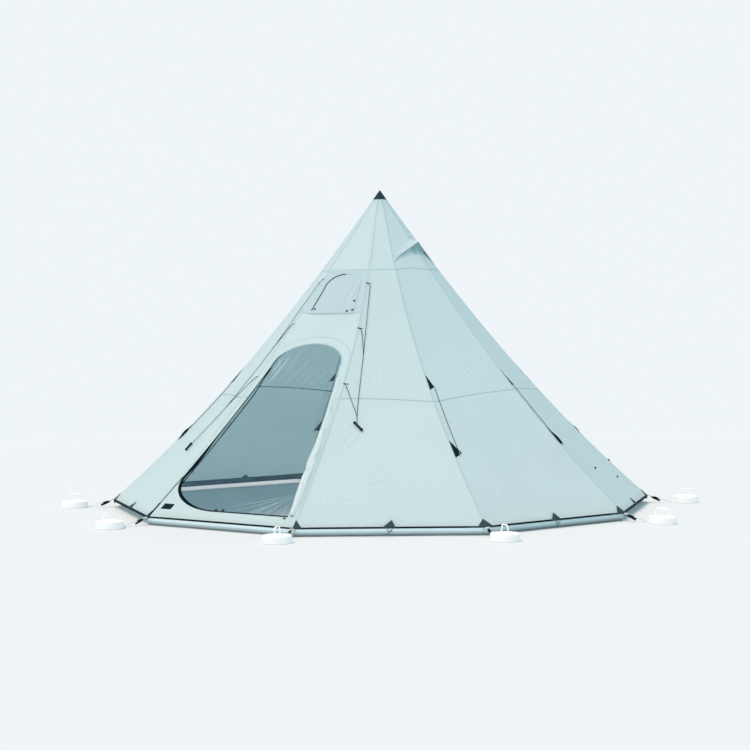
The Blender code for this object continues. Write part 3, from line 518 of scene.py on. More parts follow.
class Batch:
    """Collects swept shapes into one mesh, with UVs in metres along and around each."""

    def __init__(self):
        self.points = []
        self.faces = []
        self.uvs = []

    def sweep(self, rings, joined=False, capped=True, open_ring=False, around=None):
        """Skin a row of rings. A joined sweep closes on itself, and an open ring makes a plain sheet."""
        rings = np.asarray(rings, float)
        count, size = rings.shape[:2]
        start = len(self.points)
        self.points += rings.reshape(-1, 3).tolist()
        middle = rings.mean(axis=1)
        along = walked(middle)
        if around is None:
            edge = np.linalg.norm(np.roll(rings[count // 2], -1, axis=0) - rings[count // 2], axis=1)
            around = np.concatenate([[0.0], np.cumsum(edge)])
        else:
            around = [*around, around[0]]
        steps = count if joined else count - 1
        for i in range(steps):
            j = (i + 1) % count
            end = along[i + 1] if i + 1 < count else along[-1] + np.linalg.norm(middle[0] - middle[-1])
            here, there = start + i * size, start + j * size
            for k in range(size - 1 if open_ring else size):
                m = (k + 1) % size
                near, far = around[k], around[k + 1]
                self.faces.append([here + k, here + m, there + m, there + k])
                self.uvs += [(along[i], near), (along[i], far), (end, far), (end, near)]
        if capped and not joined and not open_ring:
            for row, turn in ((0, -1), (count - 1, 1)):
                corners = [start + row * size + k for k in range(size)][::turn]
                self.faces.append(corners)
                self.uvs += [(along[row], around[k]) for k in range(size)][::turn]

    def rod(self, path, radius, sides=8):
        """A round rod along a path, with one radius or one for each point."""
        path = np.asarray(path, float)
        radii = np.broadcast_to(np.asarray(radius, float), len(path))
        ahead = unit(np.gradient(path, axis=0))
        aside = np.cross(ahead[0], UP if abs(ahead[0] @ UP) < 0.9 else np.array([1.0, 0.0, 0.0]))
        rings = []
        for point, direction, reach in zip(path, ahead, radii):
            aside = unit(aside - direction * (aside @ direction))
            other = np.cross(direction, aside)
            turn = np.linspace(0, 2 * math.pi, sides, endpoint=False)
            rings.append(point + reach * (np.outer(np.cos(turn), aside) + np.outer(np.sin(turn), other)))
        self.sweep(rings)

    def ball(self, centre, radius, rings=5, sides=8):
        """A round bead, as a rod whose radius rises and falls."""
        turn = np.linspace(0.12, math.pi - 0.12, rings)
        path = np.asarray(centre) + np.outer(-np.cos(turn) * radius, UP)
        self.rod(path, np.sin(turn) * radius, sides)

    def mesh(self, name, smooth=True):
        """The finished mesh, with its faces turned outwards."""
        mesh = bpy.data.meshes.new(name)
        mesh.from_pydata(self.points, [], self.faces)
        layer = mesh.uv_layers.new(name="cloth_metres")
        layer.data.foreach_set("uv", np.asarray(self.uvs, np.float32).ravel())
        shape = bmesh.new()
        shape.from_mesh(mesh)
        bmesh.ops.recalc_face_normals(shape, faces=shape.faces)
        shape.to_mesh(mesh)
        shape.free()
        if smooth:
            mesh.shade_smooth()
            mesh.set_sharp_from_angle(angle=SHARP_ANGLE)
        return mesh

    def show(self, name, slot, body="root", replaced=()):
        """Put the finished mesh in the scene as one piece."""
        return show(name, self.mesh(name), body, slot, replaced)


def mark(mesh, name, blocks):
    """Keep a number at each point of a mesh, which its finish reads by this name."""
    layer = mesh.attributes.new(name, "FLOAT", "POINT")
    layer.data.foreach_set("value", np.concatenate(blocks).astype(np.float32))


def thicken(piece, thickness, offset=0.0):
    """Give a sheet its thickness, half on each side, or all of it inwards at an offset of -1."""
    solid = piece.modifiers.new("cloth thickness", "SOLIDIFY")
    solid.thickness = thickness
    solid.offset = offset


# %% Knots and toggles of the branched lines
KNOT_RADIUS = 0.0048
# How thick a toggle is at shares of its length, as a share of its radius.
TOGGLE_GIRTHS = np.array([
    (0.0, 0.55), (0.03, 0.90), (0.10, 1.0), (0.16, 1.0), (0.24, 0.62), (0.30, 0.80),
    (0.70, 0.80), (0.76, 0.62), (0.84, 1.0), (0.90, 1.0), (0.97, 0.90), (1.0, 0.55),
])

knot_pieces = []
toggle_pieces = []
for ridge, places in bridle_places.items():
    knots = Batch()
    for point in (places["ring"], places["join"], *places["knots"]):
        knots.ball(point, KNOT_RADIUS)
    knot_pieces.append(knots.show(f"line_knots_{ridge:02d}", "guy_cord"))
    toggle = Batch()
    first, last = places["toggle"]
    share, girth = TOGGLE_GIRTHS.T
    toggle.rod(first + np.outer(share, last - first), girth * TOGGLE_RADIUS, sides=12)
    toggle_piece = toggle.show(f"line_toggle_{ridge:02d}", "black_plastic")
    toggle_pieces.append(toggle_piece)
    for cord_ridge, line, facts in declared_later:
        if cord_ridge == ridge:
            pieces = [toggle_piece] if facts["far_end"] == "fitting" else []
            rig.cord(line, with_pieces=pieces, **facts)
print("knots and toggles:", len(bridle_places))

# %% [markdown]
# ## Openings in the cloth
#
# The doorway is a D that lies on its side: a long swept corner at the lower left, a straight right
# edge, and an arch on top. The window is a small arch above it. Both are written as rows of (height,
# left, right) on the door panel, which is how a sail maker would mark them out on flat cloth.

# %% Doorway, window and vent outlines
CLOTH = 0.0030
DOOR_SILL = 0.135
DOOR_CORNER_WIDTH = 0.560
DOOR_CORNER_HEIGHT = 0.225
DOOR_SPRING_HEIGHT = 1.220
DOOR_ARCH_RISE = 0.177
DOOR_LEFT_MARGIN_LOW = 0.025
DOOR_LEFT_MARGIN_HIGH = 0.075
DOOR_RIGHT_MARGIN = 0.090
CROWN_SEAM_HEIGHT = 2.005
WINDOW_SPRING_HEIGHT = 1.860
WINDOW_SILL = 1.655
WINDOW_ARCH_RISE = 0.110
WINDOW_HALF_WIDTH_LOW = 0.215
WINDOW_HALF_WIDTH_HIGH = 0.172
VENT_RIDGE = 5
VENT_HEIGHT = 2.178
VENT_WIDTH = 0.120
VENT_SLOPE_LENGTH = 0.090
# An arch stops a little short of its peak, where its two sides would meet in one point.
ARCH_TURN = math.radians(86)


def doorway(gap=0.0, hinge_gap=0.0, fine=2):
    """Rows (height, left, right) of the doorway, drawn in by a gap."""
    sill = DOOR_SILL + gap
    corner_top = DOOR_SILL + DOOR_CORNER_HEIGHT
    angle = np.linspace(math.pi / 2, 0, 8 * fine + 1)
    low = sill + (corner_top - sill) * (1 - np.sin(angle))
    side = np.linspace(corner_top, DOOR_SPRING_HEIGHT, 12 * fine + 1)[1:]
    height = np.concatenate([low, side])
    rise = np.maximum((height - corner_top) / (DOOR_SPRING_HEIGHT - corner_top), 0)
    left = DOOR_LEFT_MARGIN_LOW + (DOOR_LEFT_MARGIN_HIGH - DOOR_LEFT_MARGIN_LOW) * rise + gap
    left[: len(angle)] += DOOR_CORNER_WIDTH * (1 - np.cos(angle))
    right = panel_width(DOOR_PANEL, height) - DOOR_RIGHT_MARGIN - hinge_gap
    half = (right[-1] - left[-1]) / 2
    shift = (right[-1] + left[-1] - panel_width(DOOR_PANEL, DOOR_SPRING_HEIGHT)) / 2
    angle = np.linspace(0, ARCH_TURN, 9 * fine + 1)[1:]
    top = DOOR_SPRING_HEIGHT + (DOOR_ARCH_RISE - gap) * np.sin(angle)
    middle = panel_width(DOOR_PANEL, top) / 2 + shift
    rows = [np.concatenate([height, top])]
    rows.append(np.concatenate([left, middle - half * np.cos(angle)]))
    rows.append(np.concatenate([right, middle + half * np.cos(angle)]))
    return np.array(rows).T


def window_opening(gap=0.0, fine=2):
    """Rows (height, left, right) of the window, drawn in by a gap, or spread by one below 0."""
    t = np.linspace(0, 1, 4 * fine + 1)
    side = WINDOW_SILL + gap + (WINDOW_SPRING_HEIGHT - WINDOW_SILL - gap) * t
    half = WINDOW_HALF_WIDTH_LOW + (WINDOW_HALF_WIDTH_HIGH - WINDOW_HALF_WIDTH_LOW) * t - gap
    angle = np.linspace(0, ARCH_TURN, 8 * fine + 1)[1:]
    height = np.concatenate([side, WINDOW_SPRING_HEIGHT + (WINDOW_ARCH_RISE - gap) * np.sin(angle)])
    half = np.concatenate([half, (WINDOW_HALF_WIDTH_HIGH - gap) * np.cos(angle)])
    middle = panel_width(DOOR_PANEL, height) / 2
    return np.array([height, middle - half, middle + half]).T


def vent_opening(panel):
    """Rows of the half of the vent that lies on one of the two panels beside its ridge."""
    rise = unit(ridge_point(VENT_RIDGE, VENT_HEIGHT + SLOPE_STEP) - ridge_point(VENT_RIDGE, VENT_HEIGHT))[2]
    half = VENT_SLOPE_LENGTH / 2 * rise
    height = np.linspace(VENT_HEIGHT - half, VENT_HEIGHT + half, 5)
    width = panel_width(panel, height)
    if panel == VENT_RIDGE:
        return np.array([height, np.zeros(5), np.full(5, VENT_WIDTH / 2)]).T
    return np.array([height, width - VENT_WIDTH / 2, width]).T


OPENINGS = {
    DOOR_PANEL: [doorway(), window_opening()],
    VENT_RIDGE - 1: [vent_opening(VENT_RIDGE - 1)],
    VENT_RIDGE: [vent_opening(VENT_RIDGE)],
}
print("doorway", round(float(doorway()[-1, 0] - DOOR_SILL), 3), "m tall")

# %% [markdown]
# ## Folds in the stretched cloth
#
# Stretched cloth is never quite flat. Folds fan out from each corner that is pulled, lie in parallel
# pleats along a tight ridge, and the wide middle of a panel rolls in long soft waves. A cloth
# simulation of the whole canopy would cost minutes, so the folds are written as small inward moves.
# They fade out at every seam, where the stitching holds the cloth to its pattern.

# %% Folds as moves along the cloth's normal
FAN_PLAN = [
    # panel, corner side, height, first and last direction in degrees, folds, reach, depth
    (3, "left", 0.11, 12, 74, 8, 0.85, 0.0044),
    (3, "right", 0.10, 112, 168, 6, 0.70, 0.0026),
    (4, "left", 0.10, 14, 60, 6, 0.75, 0.0028),
    (4, "right", 0.10, 120, 168, 6, 0.70, 0.0030),
    (2, "left", 1.52, 296, 356, 6, 0.42, 0.0026),
    (2, "right", 0.11, 150, 176, 3, 0.60, 0.0020),
    (5, "left", 0.10, 16, 62, 6, 0.80, 0.0034),
    (5, "right", 0.10, 120, 165, 5, 0.70, 0.0030),
    (1, "right", 0.10, 115, 165, 6, 0.80, 0.0030),
    (1, "left", 0.10, 15, 62, 5, 0.70, 0.0030),
]
PLEAT_PLAN = [
    # panel, share across, height, direction in degrees, length, width, spacing, depth
    (4, 0.66, 1.00, 111, 1.25, 0.36, 0.060, 0.0042),
    (4, 0.80, 1.62, 104, 0.70, 0.14, 0.045, 0.0016),
    (5, 0.14, 1.25, 92, 1.70, 0.14, 0.048, 0.0026),
    (5, 0.70, 0.80, 100, 0.90, 0.30, 0.070, 0.0030),
    (3, 0.20, 0.66, 58, 0.62, 0.44, 0.066, 0.0040),
    (3, 0.42, 1.16, 94, 0.40, 0.36, 0.048, 0.0024),
    (2, 0.45, 1.47, 74, 0.30, 0.50, 0.052, 0.0020),
    (3, 0.16, 1.62, 84, 0.55, 0.07, 0.032, 0.0012),
    (2, 0.22, 1.50, 62, 0.42, 0.20, 0.048, 0.0020),
    (2, 0.90, 1.45, 95, 0.55, 0.08, 0.034, 0.0014),
    (1, 0.80, 1.00, 97, 1.20, 0.20, 0.060, 0.0024),
]
ROLL_DEPTH = 0.0030
DEEP_FOLD = 0.0040
FOLD_KINDS = ("fan", "pleat")
SEAM_REACH = 0.045
TIER_HEIGHT = 0.960
# A panel's slope is this much longer than it is high, so folds keep their direction on the cloth.
SLOPE_STRETCH = 1.36


def ease(value):
    """A smooth step from 0 to 1."""
    value = np.clip(value, 0, 1)
    return value * value * (3 - 2 * value)


def rows_at(rows, height):
    """Left and right edge of an outline at these heights, and whether they lie beside it."""
    left = np.interp(height, rows[:, 0], rows[:, 1])
    right = np.interp(height, rows[:, 0], rows[:, 2])
    return left, right, (height > rows[0, 0]) & (height < rows[-1, 0])


def held(panel, height, offset, width):
    """How free the cloth is, from 0 at a seam or the rim of an opening to 1 well away from them."""
    edge = np.minimum(offset, width - offset)
    free = ease(edge / SEAM_REACH) * ease((height - HEM_HEIGHT - 0.02) / 0.08)
    for seam in (TIER_HEIGHT, CROWN_SEAM_HEIGHT):
        free = free * (0.25 + 0.75 * ease(np.abs(height - seam) / 0.05))
    free = free * ease((APEX_HEIGHT - 0.15 - height) / 0.2)
    for rows in OPENINGS.get(panel, []):
        left, right, _ = rows_at(rows, np.clip(height, rows[0, 0], rows[-1, 0]))
        gap_x = np.maximum(np.maximum(left - offset, offset - right), 0)
        gap_z = np.maximum(np.maximum(rows[0, 0] - height, height - rows[-1, 0]), 0) * SLOPE_STRETCH
        free = free * ease(np.hypot(gap_x, gap_z) / SEAM_REACH)
    return free


def creases(panel, height, offset):
    """Each set of folds that crosses these places: its kind, how deep it is there, and its phase."""
    width = panel_width(panel, height)
    sets = []
    for plan_panel, side, base, first, last, count, reach, depth in FAN_PLAN:
        if plan_panel != panel:
            continue
        from_x = offset if side == "left" else offset - width
        from_z = (height - base) * SLOPE_STRETCH
        spread = np.degrees(np.arctan2(from_z, from_x)) % 360
        share = (spread - first) / (last - first)
        distance = np.hypot(from_x, from_z) / reach
        window = ease(distance / 0.12) * ease((1 - distance) / 0.7) * np.sin(math.pi * np.clip(share, 0, 1))
        sets.append(("fan", depth * window, 2 * math.pi * count * share + 2.0 * distance))
    for plan_panel, across, base, direction, length, wide, spacing, depth in PLEAT_PLAN:
        if plan_panel != panel:
            continue
        turn = math.radians(direction)
        from_x = offset - across * width
        from_z = (height - base) * SLOPE_STRETCH
        along = (from_x * math.cos(turn) + from_z * math.sin(turn)) / length + 0.5
        beside = from_x * math.sin(turn) - from_z * math.cos(turn)
        window = np.sin(math.pi * np.clip(along, 0, 1)) * ease(1 - np.abs(beside) / wide * 2)
        lean = 0.8 * np.sin(5.0 * along + panel)
        sets.append(("pleat", depth * window, 2 * math.pi * beside / spacing + lean))
    return sets


def fold(panel, height, offset):
    """How far the cloth lies in from its smooth shape, as a lift that is 0 or below."""
    width = panel_width(panel, height)
    lift = -ROLL_DEPTH * (1 - np.cos(2.1 * offset + 3.7 * height + panel)) / 2
    lift = lift - 0.4 * ROLL_DEPTH * (1 - np.sin(9.0 * offset - 5.3 * height + 2 * panel)) / 2
    for _, depth, phase in creases(panel, height, offset):
        lift = lift - depth * (1 - np.cos(phase)) / 2
    return lift * held(panel, height, offset, width)


def deepest(panel, height, offset, kind):
    """The depth of the deepest set of one kind at each place, as a share, and its phase."""
    best, turn = np.zeros(len(height)), np.zeros(len(height))
    for name, depth, phase in creases(panel, height, offset):
        ahead = (depth > best) & (name == kind)
        best, turn = np.where(ahead, depth, best), np.where(ahead, phase, turn)
    return best * held(panel, height, offset, panel_width(panel, height)) / DEEP_FOLD, turn


def cloth_point(panel, height, offset, lift=0.0):
    """Points on the folded cloth, or lifted off it."""
    height = np.asarray(height, float)
    offset = np.asarray(offset, float)
    height, offset = np.broadcast_arrays(height, offset)
    return flat_point(panel, height, offset, fold(panel, height, offset) + lift)


sample = np.linspace(0.2, 1.9, 60)
deep = float(fold(3, sample, 0.4 * panel_width(3, sample)).min())
print("deepest fold on panel 3:", round(deep * 1000, 1), "mm")

# %% [markdown]
# ## The canopy as one sheet
#
# The canopy is built as a single skin and not as ten plates. Each panel is filled with points that
# are evenly spread over the cloth, closer together at the front. Blender's Delaunay triangulation
# joins them, and it keeps the ridges and the rims of the openings as exact edges. Neighbouring panels
# have the same points along their shared ridge, so welding makes them one sheet. A Solidify modifier
# then gives the cloth its thickness, inwards.

# %% Fill each panel with triangles
FRONT_SPACING = 0.019
BACK_SPACING = 0.034
FRONT_PANELS = (1, 2, 3, 4, 5)
CANOPY_TOP = 2.690
CANOPY_THICKNESS = 0.0012

vent_rows = vent_opening(VENT_RIDGE)[:, 0]
ridge_heights = np.concatenate([
    np.arange(HEM_HEIGHT, CANOPY_TOP, BACK_SPACING / SLOPE_STRETCH),
    [CANOPY_TOP],
    vent_rows[[0, -1]],
])
ridge_heights = np.unique(np.round(ridge_heights, 5))


def panel_triangles(panel, spacing):
    """Flat places (offset, height) and triangles that fill one panel round its openings."""
    places = []
    edges = []

    def chain(points, closed=False):
        start = len(places)
        places.extend(points)
        count = len(points)
        edges.extend((start + i, start + i + 1) for i in range(count - 1))
        if closed:
            edges.append((start + count - 1, start))

    chain([(0.0, z) for z in ridge_heights])
    chain([(float(panel_width(panel, z)), z) for z in ridge_heights])
    rims = OPENINGS.get(panel, [])
    for rows in rims:
        chain([(left, z) for z, left, _ in rows] + [(right, z) for z, _, right in rows[::-1]], closed=True)
    outline = np.array(places)
    steps = int(round((CANOPY_TOP - HEM_HEIGHT) * SLOPE_STRETCH / spacing))
    for row, z in enumerate(np.linspace(HEM_HEIGHT, CANOPY_TOP, steps + 1)):
        width = float(panel_width(panel, z))
        count = max(int(round(width / spacing)), 2)
        shift = 0.25 if row % 2 else -0.25
        offsets = (np.arange(1, count) + (shift if 0 < row < steps else 0)) * width / count
        keep = (offsets > spacing / 3) & (offsets < width - spacing / 3)
        for rows in rims:
            left, right, beside = rows_at(rows, z)
            keep &= ~((offsets > left) & (offsets < right) & beside)
        near = np.hypot(outline[:, 0, None] - offsets, (outline[:, 1, None] - z) * SLOPE_STRETCH)
        keep &= near.min(axis=0) > spacing * 0.45
        places.extend((float(x), float(z)) for x in offsets[keep])
    corners = [Vector((x, z * SLOPE_STRETCH)) for x, z in places]
    found, _, faces, *_ = delaunay_2d_cdt(corners, edges, [], 0, 1e-7)
    found = np.array([(p.x, p.y / SLOPE_STRETCH) for p in found])
    faces = np.array(faces)
    middle = found[faces].mean(axis=1)
    width = panel_width(panel, middle[:, 1])
    keep = (middle[:, 0] > 1e-6) & (middle[:, 0] < width - 1e-6)
    for rows in rims:
        left, right, beside = rows_at(rows, middle[:, 1])
        keep &= ~((middle[:, 0] > left) & (middle[:, 0] < right) & beside)
    return found, faces[keep]


# %% Weld the panels into the canopy
def canopy_mesh():
    """The whole canopy, with UVs in metres of cloth on each panel."""
    points, faces, uvs = [], [], []
    folds = {f"{kind}_{what}": [] for kind in FOLD_KINDS for what in ("depth", "phase")}
    for panel in range(1, SIDES + 1):
        spacing = FRONT_SPACING if panel in FRONT_PANELS else BACK_SPACING
        flat, triangles = panel_triangles(panel, spacing)
        offset, height = flat.T
        start = sum(len(block) for block in points)
        points.append(cloth_point(panel, height, offset))
        faces.append(triangles + start)
        metres = np.stack([offset, height * SLOPE_STRETCH], axis=1)
        uvs.append(metres[triangles].reshape(-1, 2))
        for kind in FOLD_KINDS:
            depth, phase = deepest(panel, height, offset, kind)
            folds[f"{kind}_depth"].append(depth)
            folds[f"{kind}_phase"].append(phase)
    mesh = bpy.data.meshes.new("canopy")
    mesh.from_pydata(np.concatenate(points).tolist(), [], np.concatenate(faces).tolist())
    layer = mesh.uv_layers.new(name="cloth_metres")
    layer.data.foreach_set("uv", np.concatenate(uvs).astype(np.float32).ravel())
    for name, values in folds.items():
        mark(mesh, name, values)
    shape = bmesh.new()
    shape.from_mesh(mesh)
    bmesh.ops.remove_doubles(shape, verts=shape.verts, dist=2e-5)
    shape.to_mesh(mesh)
    shape.free()
    mesh.shade_smooth()
    # A ridge is a folded seam, so the light breaks on it.
    mesh.set_sharp_from_angle(angle=math.radians(12))
    return mesh


panel_nodes = [f"canopy_panel_{p:02d}" + ("_door" if p == DOOR_PANEL else "") for p in range(1, SIDES + 1)]
canopy = show("canopy", canopy_mesh(), "root", "canopy_cloth", [*panel_nodes, "canopy_crown"])
thicken(canopy, CANOPY_THICKNESS, offset=-1.0)


def cloth_area(middle, width):
    """Area of cloth, from points along its middle and its width at each."""
    run = np.linalg.norm(np.diff(middle, axis=0), axis=1)
    return float((run * (width[1:] + width[:-1]) / 2).sum())


def panel_area(panel, steps=200):
    """Cloth in one panel before its openings are cut."""
    height = np.linspace(HEM_HEIGHT, CANOPY_TOP, steps)
    width = panel_width(panel, height)
    return cloth_area(flat_point(panel, height, width / 2), width)


canopy_area = sum(panel_area(panel) for panel in range(1, SIDES + 1))
hem_length = sum(float(panel_width(panel, HEM_HEIGHT)) for panel in range(1, SIDES + 1))
slope_length = ridge_slope_length(HEM_HEIGHT, CANOPY_TOP)
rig.sheet(canopy, flat=(hem_length, slope_length), held="stretched", rests_on=["pole_head"], area=canopy_area)
print("canopy triangles:", len(canopy.data.polygons), "cloth:", round(canopy_area, 2), "m2")

# %% [markdown]
# ## Strips and patches on the cloth
#
# A sewn strip is not a line drawn on the cloth. It has an edge and a thickness, and it follows each
# fold that it crosses. The next helpers lay flat strips and small patches on the folded cloth, and go
# round a ridge where a patch is wider than the panel that it starts on. Along a strip, the UV map holds
# the distance from the nearest edge, so that one material can sew a row of stitches beside any edge.

# %% Places that may pass a ridge
def around_point(panel, height, offset, lift=0.0):
    """Points on the folded cloth, where an offset past a ridge goes on over the next panel."""
    height, offset, lift = np.broadcast_arrays(*(np.asarray(v, float) for v in (height, offset, lift)))
    width = panel_width(panel, height)
    place = cloth_point(panel, height, np.clip(offset, 0, width), lift)
    before = offset < 0
    if before.any():
        inner = panel_width(panel - 1, height[before]) + offset[before]
        place[before] = cloth_point(panel - 1, height[before], inner, lift[before])
    after = offset > width
    if after.any():
        inner = offset[after] - width[after]
        place[after] = cloth_point(panel + 1, height[after], inner, lift[after])
    return place


EDGE_CHAMFER = 0.0006


def strip(batch, panel, route, width, low, high, count=0):
    """Lay a flat strip of this width along a route of (offset, height) places."""
    route = np.asarray(route, float)
    if count:
        route = smooth_path(route, count)
    x, z = route.T
    run = np.stack([np.gradient(x), np.gradient(z) * SLOPE_STRETCH])
    run = run / np.linalg.norm(run, axis=0)
    half = width / 2
    edge = [(-half, low, 0.0), (-half, high - EDGE_CHAMFER / 2, 0.0)]
    edge.append((-half + EDGE_CHAMFER, high, EDGE_CHAMFER))
    profile = [*edge, (0.0, high, half), *((-reach, lift, inset) for reach, lift, inset in edge[::-1])]
    columns = []
    for reach, lift, _ in profile:
        columns.append(around_point(panel, z + run[0] * reach / SLOPE_STRETCH, x - run[1] * reach, lift))
    batch.sweep(np.stack(columns, axis=1), around=[inset for _, _, inset in profile])


def patch(batch, panel, corners, low, high, rows=7, columns=6):
    """Lay a patch with four corners (offset, height), from lower left round to upper left."""
    a, b, c, d = (np.asarray(corner, float) for corner in corners)
    share = np.linspace(0, 1, columns)[:, None]
    rings = []
    for t in np.linspace(0, 1, rows):
        places = (a + (d - a) * t) * (1 - share) + (b + (c - b) * t) * share
        x, z = places.T
        upper = around_point(panel, z, x, high)
        lower = around_point(panel, z[::-1], x[::-1], low)
        rings.append(np.concatenate([upper, lower]))
    batch.sweep(rings)


def triangle(batch, panel, foot, end, tip, low, high, blunt=0.04):
    """Lay a triangular patch between three places, slightly blunt at its tip."""
    foot, end, tip = (np.asarray(corner, float) for corner in (foot, end, tip))
    patch(batch, panel, (foot, end, tip + (end - tip) * blunt, tip + (foot - tip) * blunt), low, high)


# %% [markdown]
# ## Seams
#
# Every ridge is a felled seam: both edges of the cloth are folded into each other and sewn twice. A
# second seam goes round the tent at a third of its height, and a third one below the window's top,
# because a roll of tent cloth isn't wide enough for one long panel. Cloth pulls less along the middle
# of such a seam, so it hangs in a shallow arc.

# %% Ridge seams and tier seams
WEBBING_WIDTH = 0.009
SEAM_WIDTH = 0.014
SEAM_PROUD = 0.0010
SEAM_ROWS = 90
SEAM_TOP = 2.640
# Where the tier seam meets the left and the right ridge of a panel. Elsewhere it runs level.
TIER_ENDS = {
    2: (0.968, 0.972), 3: (0.972, 0.944), 4: (0.944, 1.020), 5: (1.020, 0.985),
    8: (0.960, 0.930), 9: (0.930, 1.000), 10: (1.000, 0.968),
}
TAPE_WIDTH = 0.008
TIER_ARC = 0.010
CROWN_ARCS = {4: 0.016, 5: 0.016}
PLAIN_CROWN_ARC = 0.003
FINE_PROUD = 0.0008
FACING_WIDTH = 0.078
FACING_SEAM_WIDTH = 0.005

seams = Batch()
level_seams = Batch()
tapes = Batch()
half = SEAM_WIDTH / 2
for ridge in range(1, SIDES + 1):
    z = np.linspace(HEM_HEIGHT + WEBBING_WIDTH + 0.0006, SEAM_TOP, SEAM_ROWS)
    columns = [
        around_point(ridge, z, -half, 0.0),
        around_point(ridge, z, -half + EDGE_CHAMFER, SEAM_PROUD),
        ridge_point(ridge, z, SEAM_PROUD * 1.2),
        around_point(ridge, z, half - EDGE_CHAMFER, SEAM_PROUD),
        around_point(ridge, z, half, 0.0),
        ridge_point(ridge, z, 0.0),
    ]
    seams.sweep(np.stack(columns, axis=1), around=[0.0, EDGE_CHAMFER, half, EDGE_CHAMFER, 0.0, 0.0])


def tier_route(panel, ends, arc, count=40):
    """Places along a seam that runs round the tent across one panel."""
    share = np.linspace(0, 1, count)
    z = ends[0] + (ends[1] - ends[0]) * share + arc * 4 * share * (1 - share)
    return np.stack([share * panel_width(panel, z), z], axis=1)


for panel in range(1, SIDES + 1):
    level = tier_route(panel, TIER_ENDS.get(panel, (TIER_HEIGHT, TIER_HEIGHT)), TIER_ARC)
    if panel == DOOR_PANEL:
        left, right, _ = rows_at(doorway(), level[:, 1])
        for keep in (level[:, 0] < left, level[:, 0] > right):
            if keep.sum() > 1:
                strip(level_seams, panel, level[keep], TAPE_WIDTH, 0.0, SEAM_PROUD)
    else:
        strip(level_seams, panel, level, TAPE_WIDTH, 0.0, SEAM_PROUD)
        strip(tapes, panel, level, TAPE_WIDTH, -0.0026, -0.0014)
    arc = CROWN_ARCS.get(panel, PLAIN_CROWN_ARC)
    top = tier_route(panel, (CROWN_SEAM_HEIGHT, CROWN_SEAM_HEIGHT), arc)
    strip(seams, panel, top, SEAM_WIDTH, 0.0, SEAM_PROUD)

# The window's sill seam and the stitched edge of the door's inner facing.
sill = WINDOW_SILL - TAPE_WIDTH
route = [(share * panel_width(DOOR_PANEL, sill), sill) for share in np.linspace(0.02, 0.98, 20)]
strip(seams, DOOR_PANEL, route, TAPE_WIDTH, 0.0, FINE_PROUD)


def sides_of(rows):
    """An outline's left side upwards and its right side downwards, as (offset, height) places."""
    return rows[:, [1, 0]], rows[::-1, [2, 0]]


def moved_off(route, reach):
    """Places moved off a route by a reach, to its left where that is above 0."""
    run = np.gradient(route * [1, SLOPE_STRETCH], axis=0)
    run = run / np.maximum(np.linalg.norm(run, axis=1, keepdims=True), 1e-9)
    return route + np.stack([-run[:, 1], run[:, 0] / SLOPE_STRETCH], axis=1) * reach


def stretch_of(route, first, last, count):
    """Evenly spaced places on a route, between two shares of its length."""
    gone = walked(route * [1, SLOPE_STRETCH])
    place = np.linspace(first, last, count) * gone[-1]
    return np.stack([np.interp(place, gone, route[:, 0]), np.interp(place, gone, route[:, 1])], axis=1)


def outline_route(rows, reach, first=0.0, last=1.0, count=120):
    """Places along an outline, spread by a reach, from its lower left over the top to its lower right."""
    return stretch_of(moved_off(np.concatenate(sides_of(rows)), reach), first, last, count)


route = outline_route(doorway(), FACING_WIDTH, 0.47, 0.90)
strip(seams, DOOR_PANEL, route, FACING_SEAM_WIDTH, 0.0, FINE_PROUD)
seam_piece = seams.show("felled_seams", "canopy_cloth")
level_piece = level_seams.show("level_seams", "canopy_cloth")
tape_piece = tapes.show("inner_seam_tapes", "slate_webbing")
print("seam faces:", len(seams.faces))

# %% [markdown]
# ## Webbing at the hem, the corners and the ridges
#
# Dark webbing takes the loads. A band is folded round the hem, a patch covers each corner where a
# strap pulls, and a small triangle reinforces the middle of each side. Higher up, each ridge has a
# triangular tab that a guy line is tied to, and a pocket that swallows its end.

# %% Hem band, corner patches and mid triangles
HEM_BAND_ROWS = 9
HEM_INSIDE = 0.032
HEM_DROP = {1: 0.008, 5: 0.008}
BACK_HEM_DROP = 0.022
HEM_PROUD = 0.0024
PATCH_PROUD = 0.0022
CORNER_LAP = 0.0005
CORNER_PATCH_TOP = 0.116
CORNER_PATCH_WIDTH = 0.066
# Half width, top, and the lift of both faces: one patch outside and one inside.
MIDDLE_PATCH = (0.050, 0.112, 0.0, 0.0046)
INNER_PATCH = (0.078, 0.126, -0.0060, -0.0012)
MIDDLE_SHARE = 0.495
SKIRTS = {2: "skirt_door", 3: "skirt_front", 4: "skirt_right"}

trim = Batch()
hem_profile = [
    (HEM_HEIGHT + WEBBING_WIDTH, 0.0004), (HEM_HEIGHT + WEBBING_WIDTH, 0.0022), (HEM_HEIGHT + 0.002, 0.0026),
    (HEM_HEIGHT - 0.0004, 0.0014), (HEM_HEIGHT - 0.0004, -0.0026), (HEM_HEIGHT + 0.002, -0.0042),
    (HEM_HEIGHT + HEM_INSIDE, -0.0040), (HEM_HEIGHT + HEM_INSIDE, -0.0020), (HEM_HEIGHT + 0.003, -0.0022),
    (HEM_HEIGHT + 0.003, 0.0004),
]
hem_edge = [0.0, 0.0006, 0.009, 0.011, 0.011, 0.009, 0.0006, 0.0, 0.011, 0.011]
rings = []
for panel in range(1, SIDES + 1):
    for share in np.linspace(0, 1, HEM_BAND_ROWS)[:-1]:
        if share == 0:
            rings.append([ridge_point(panel, z, lift) for z, lift in hem_profile])
        else:
            across = [share * panel_width(panel, z) for z, _ in hem_profile]
            rings.append([flat_point(panel, z, x, lift) for x, (z, lift) in zip(across, hem_profile)])
trim.sweep(rings, joined=True, around=hem_edge)

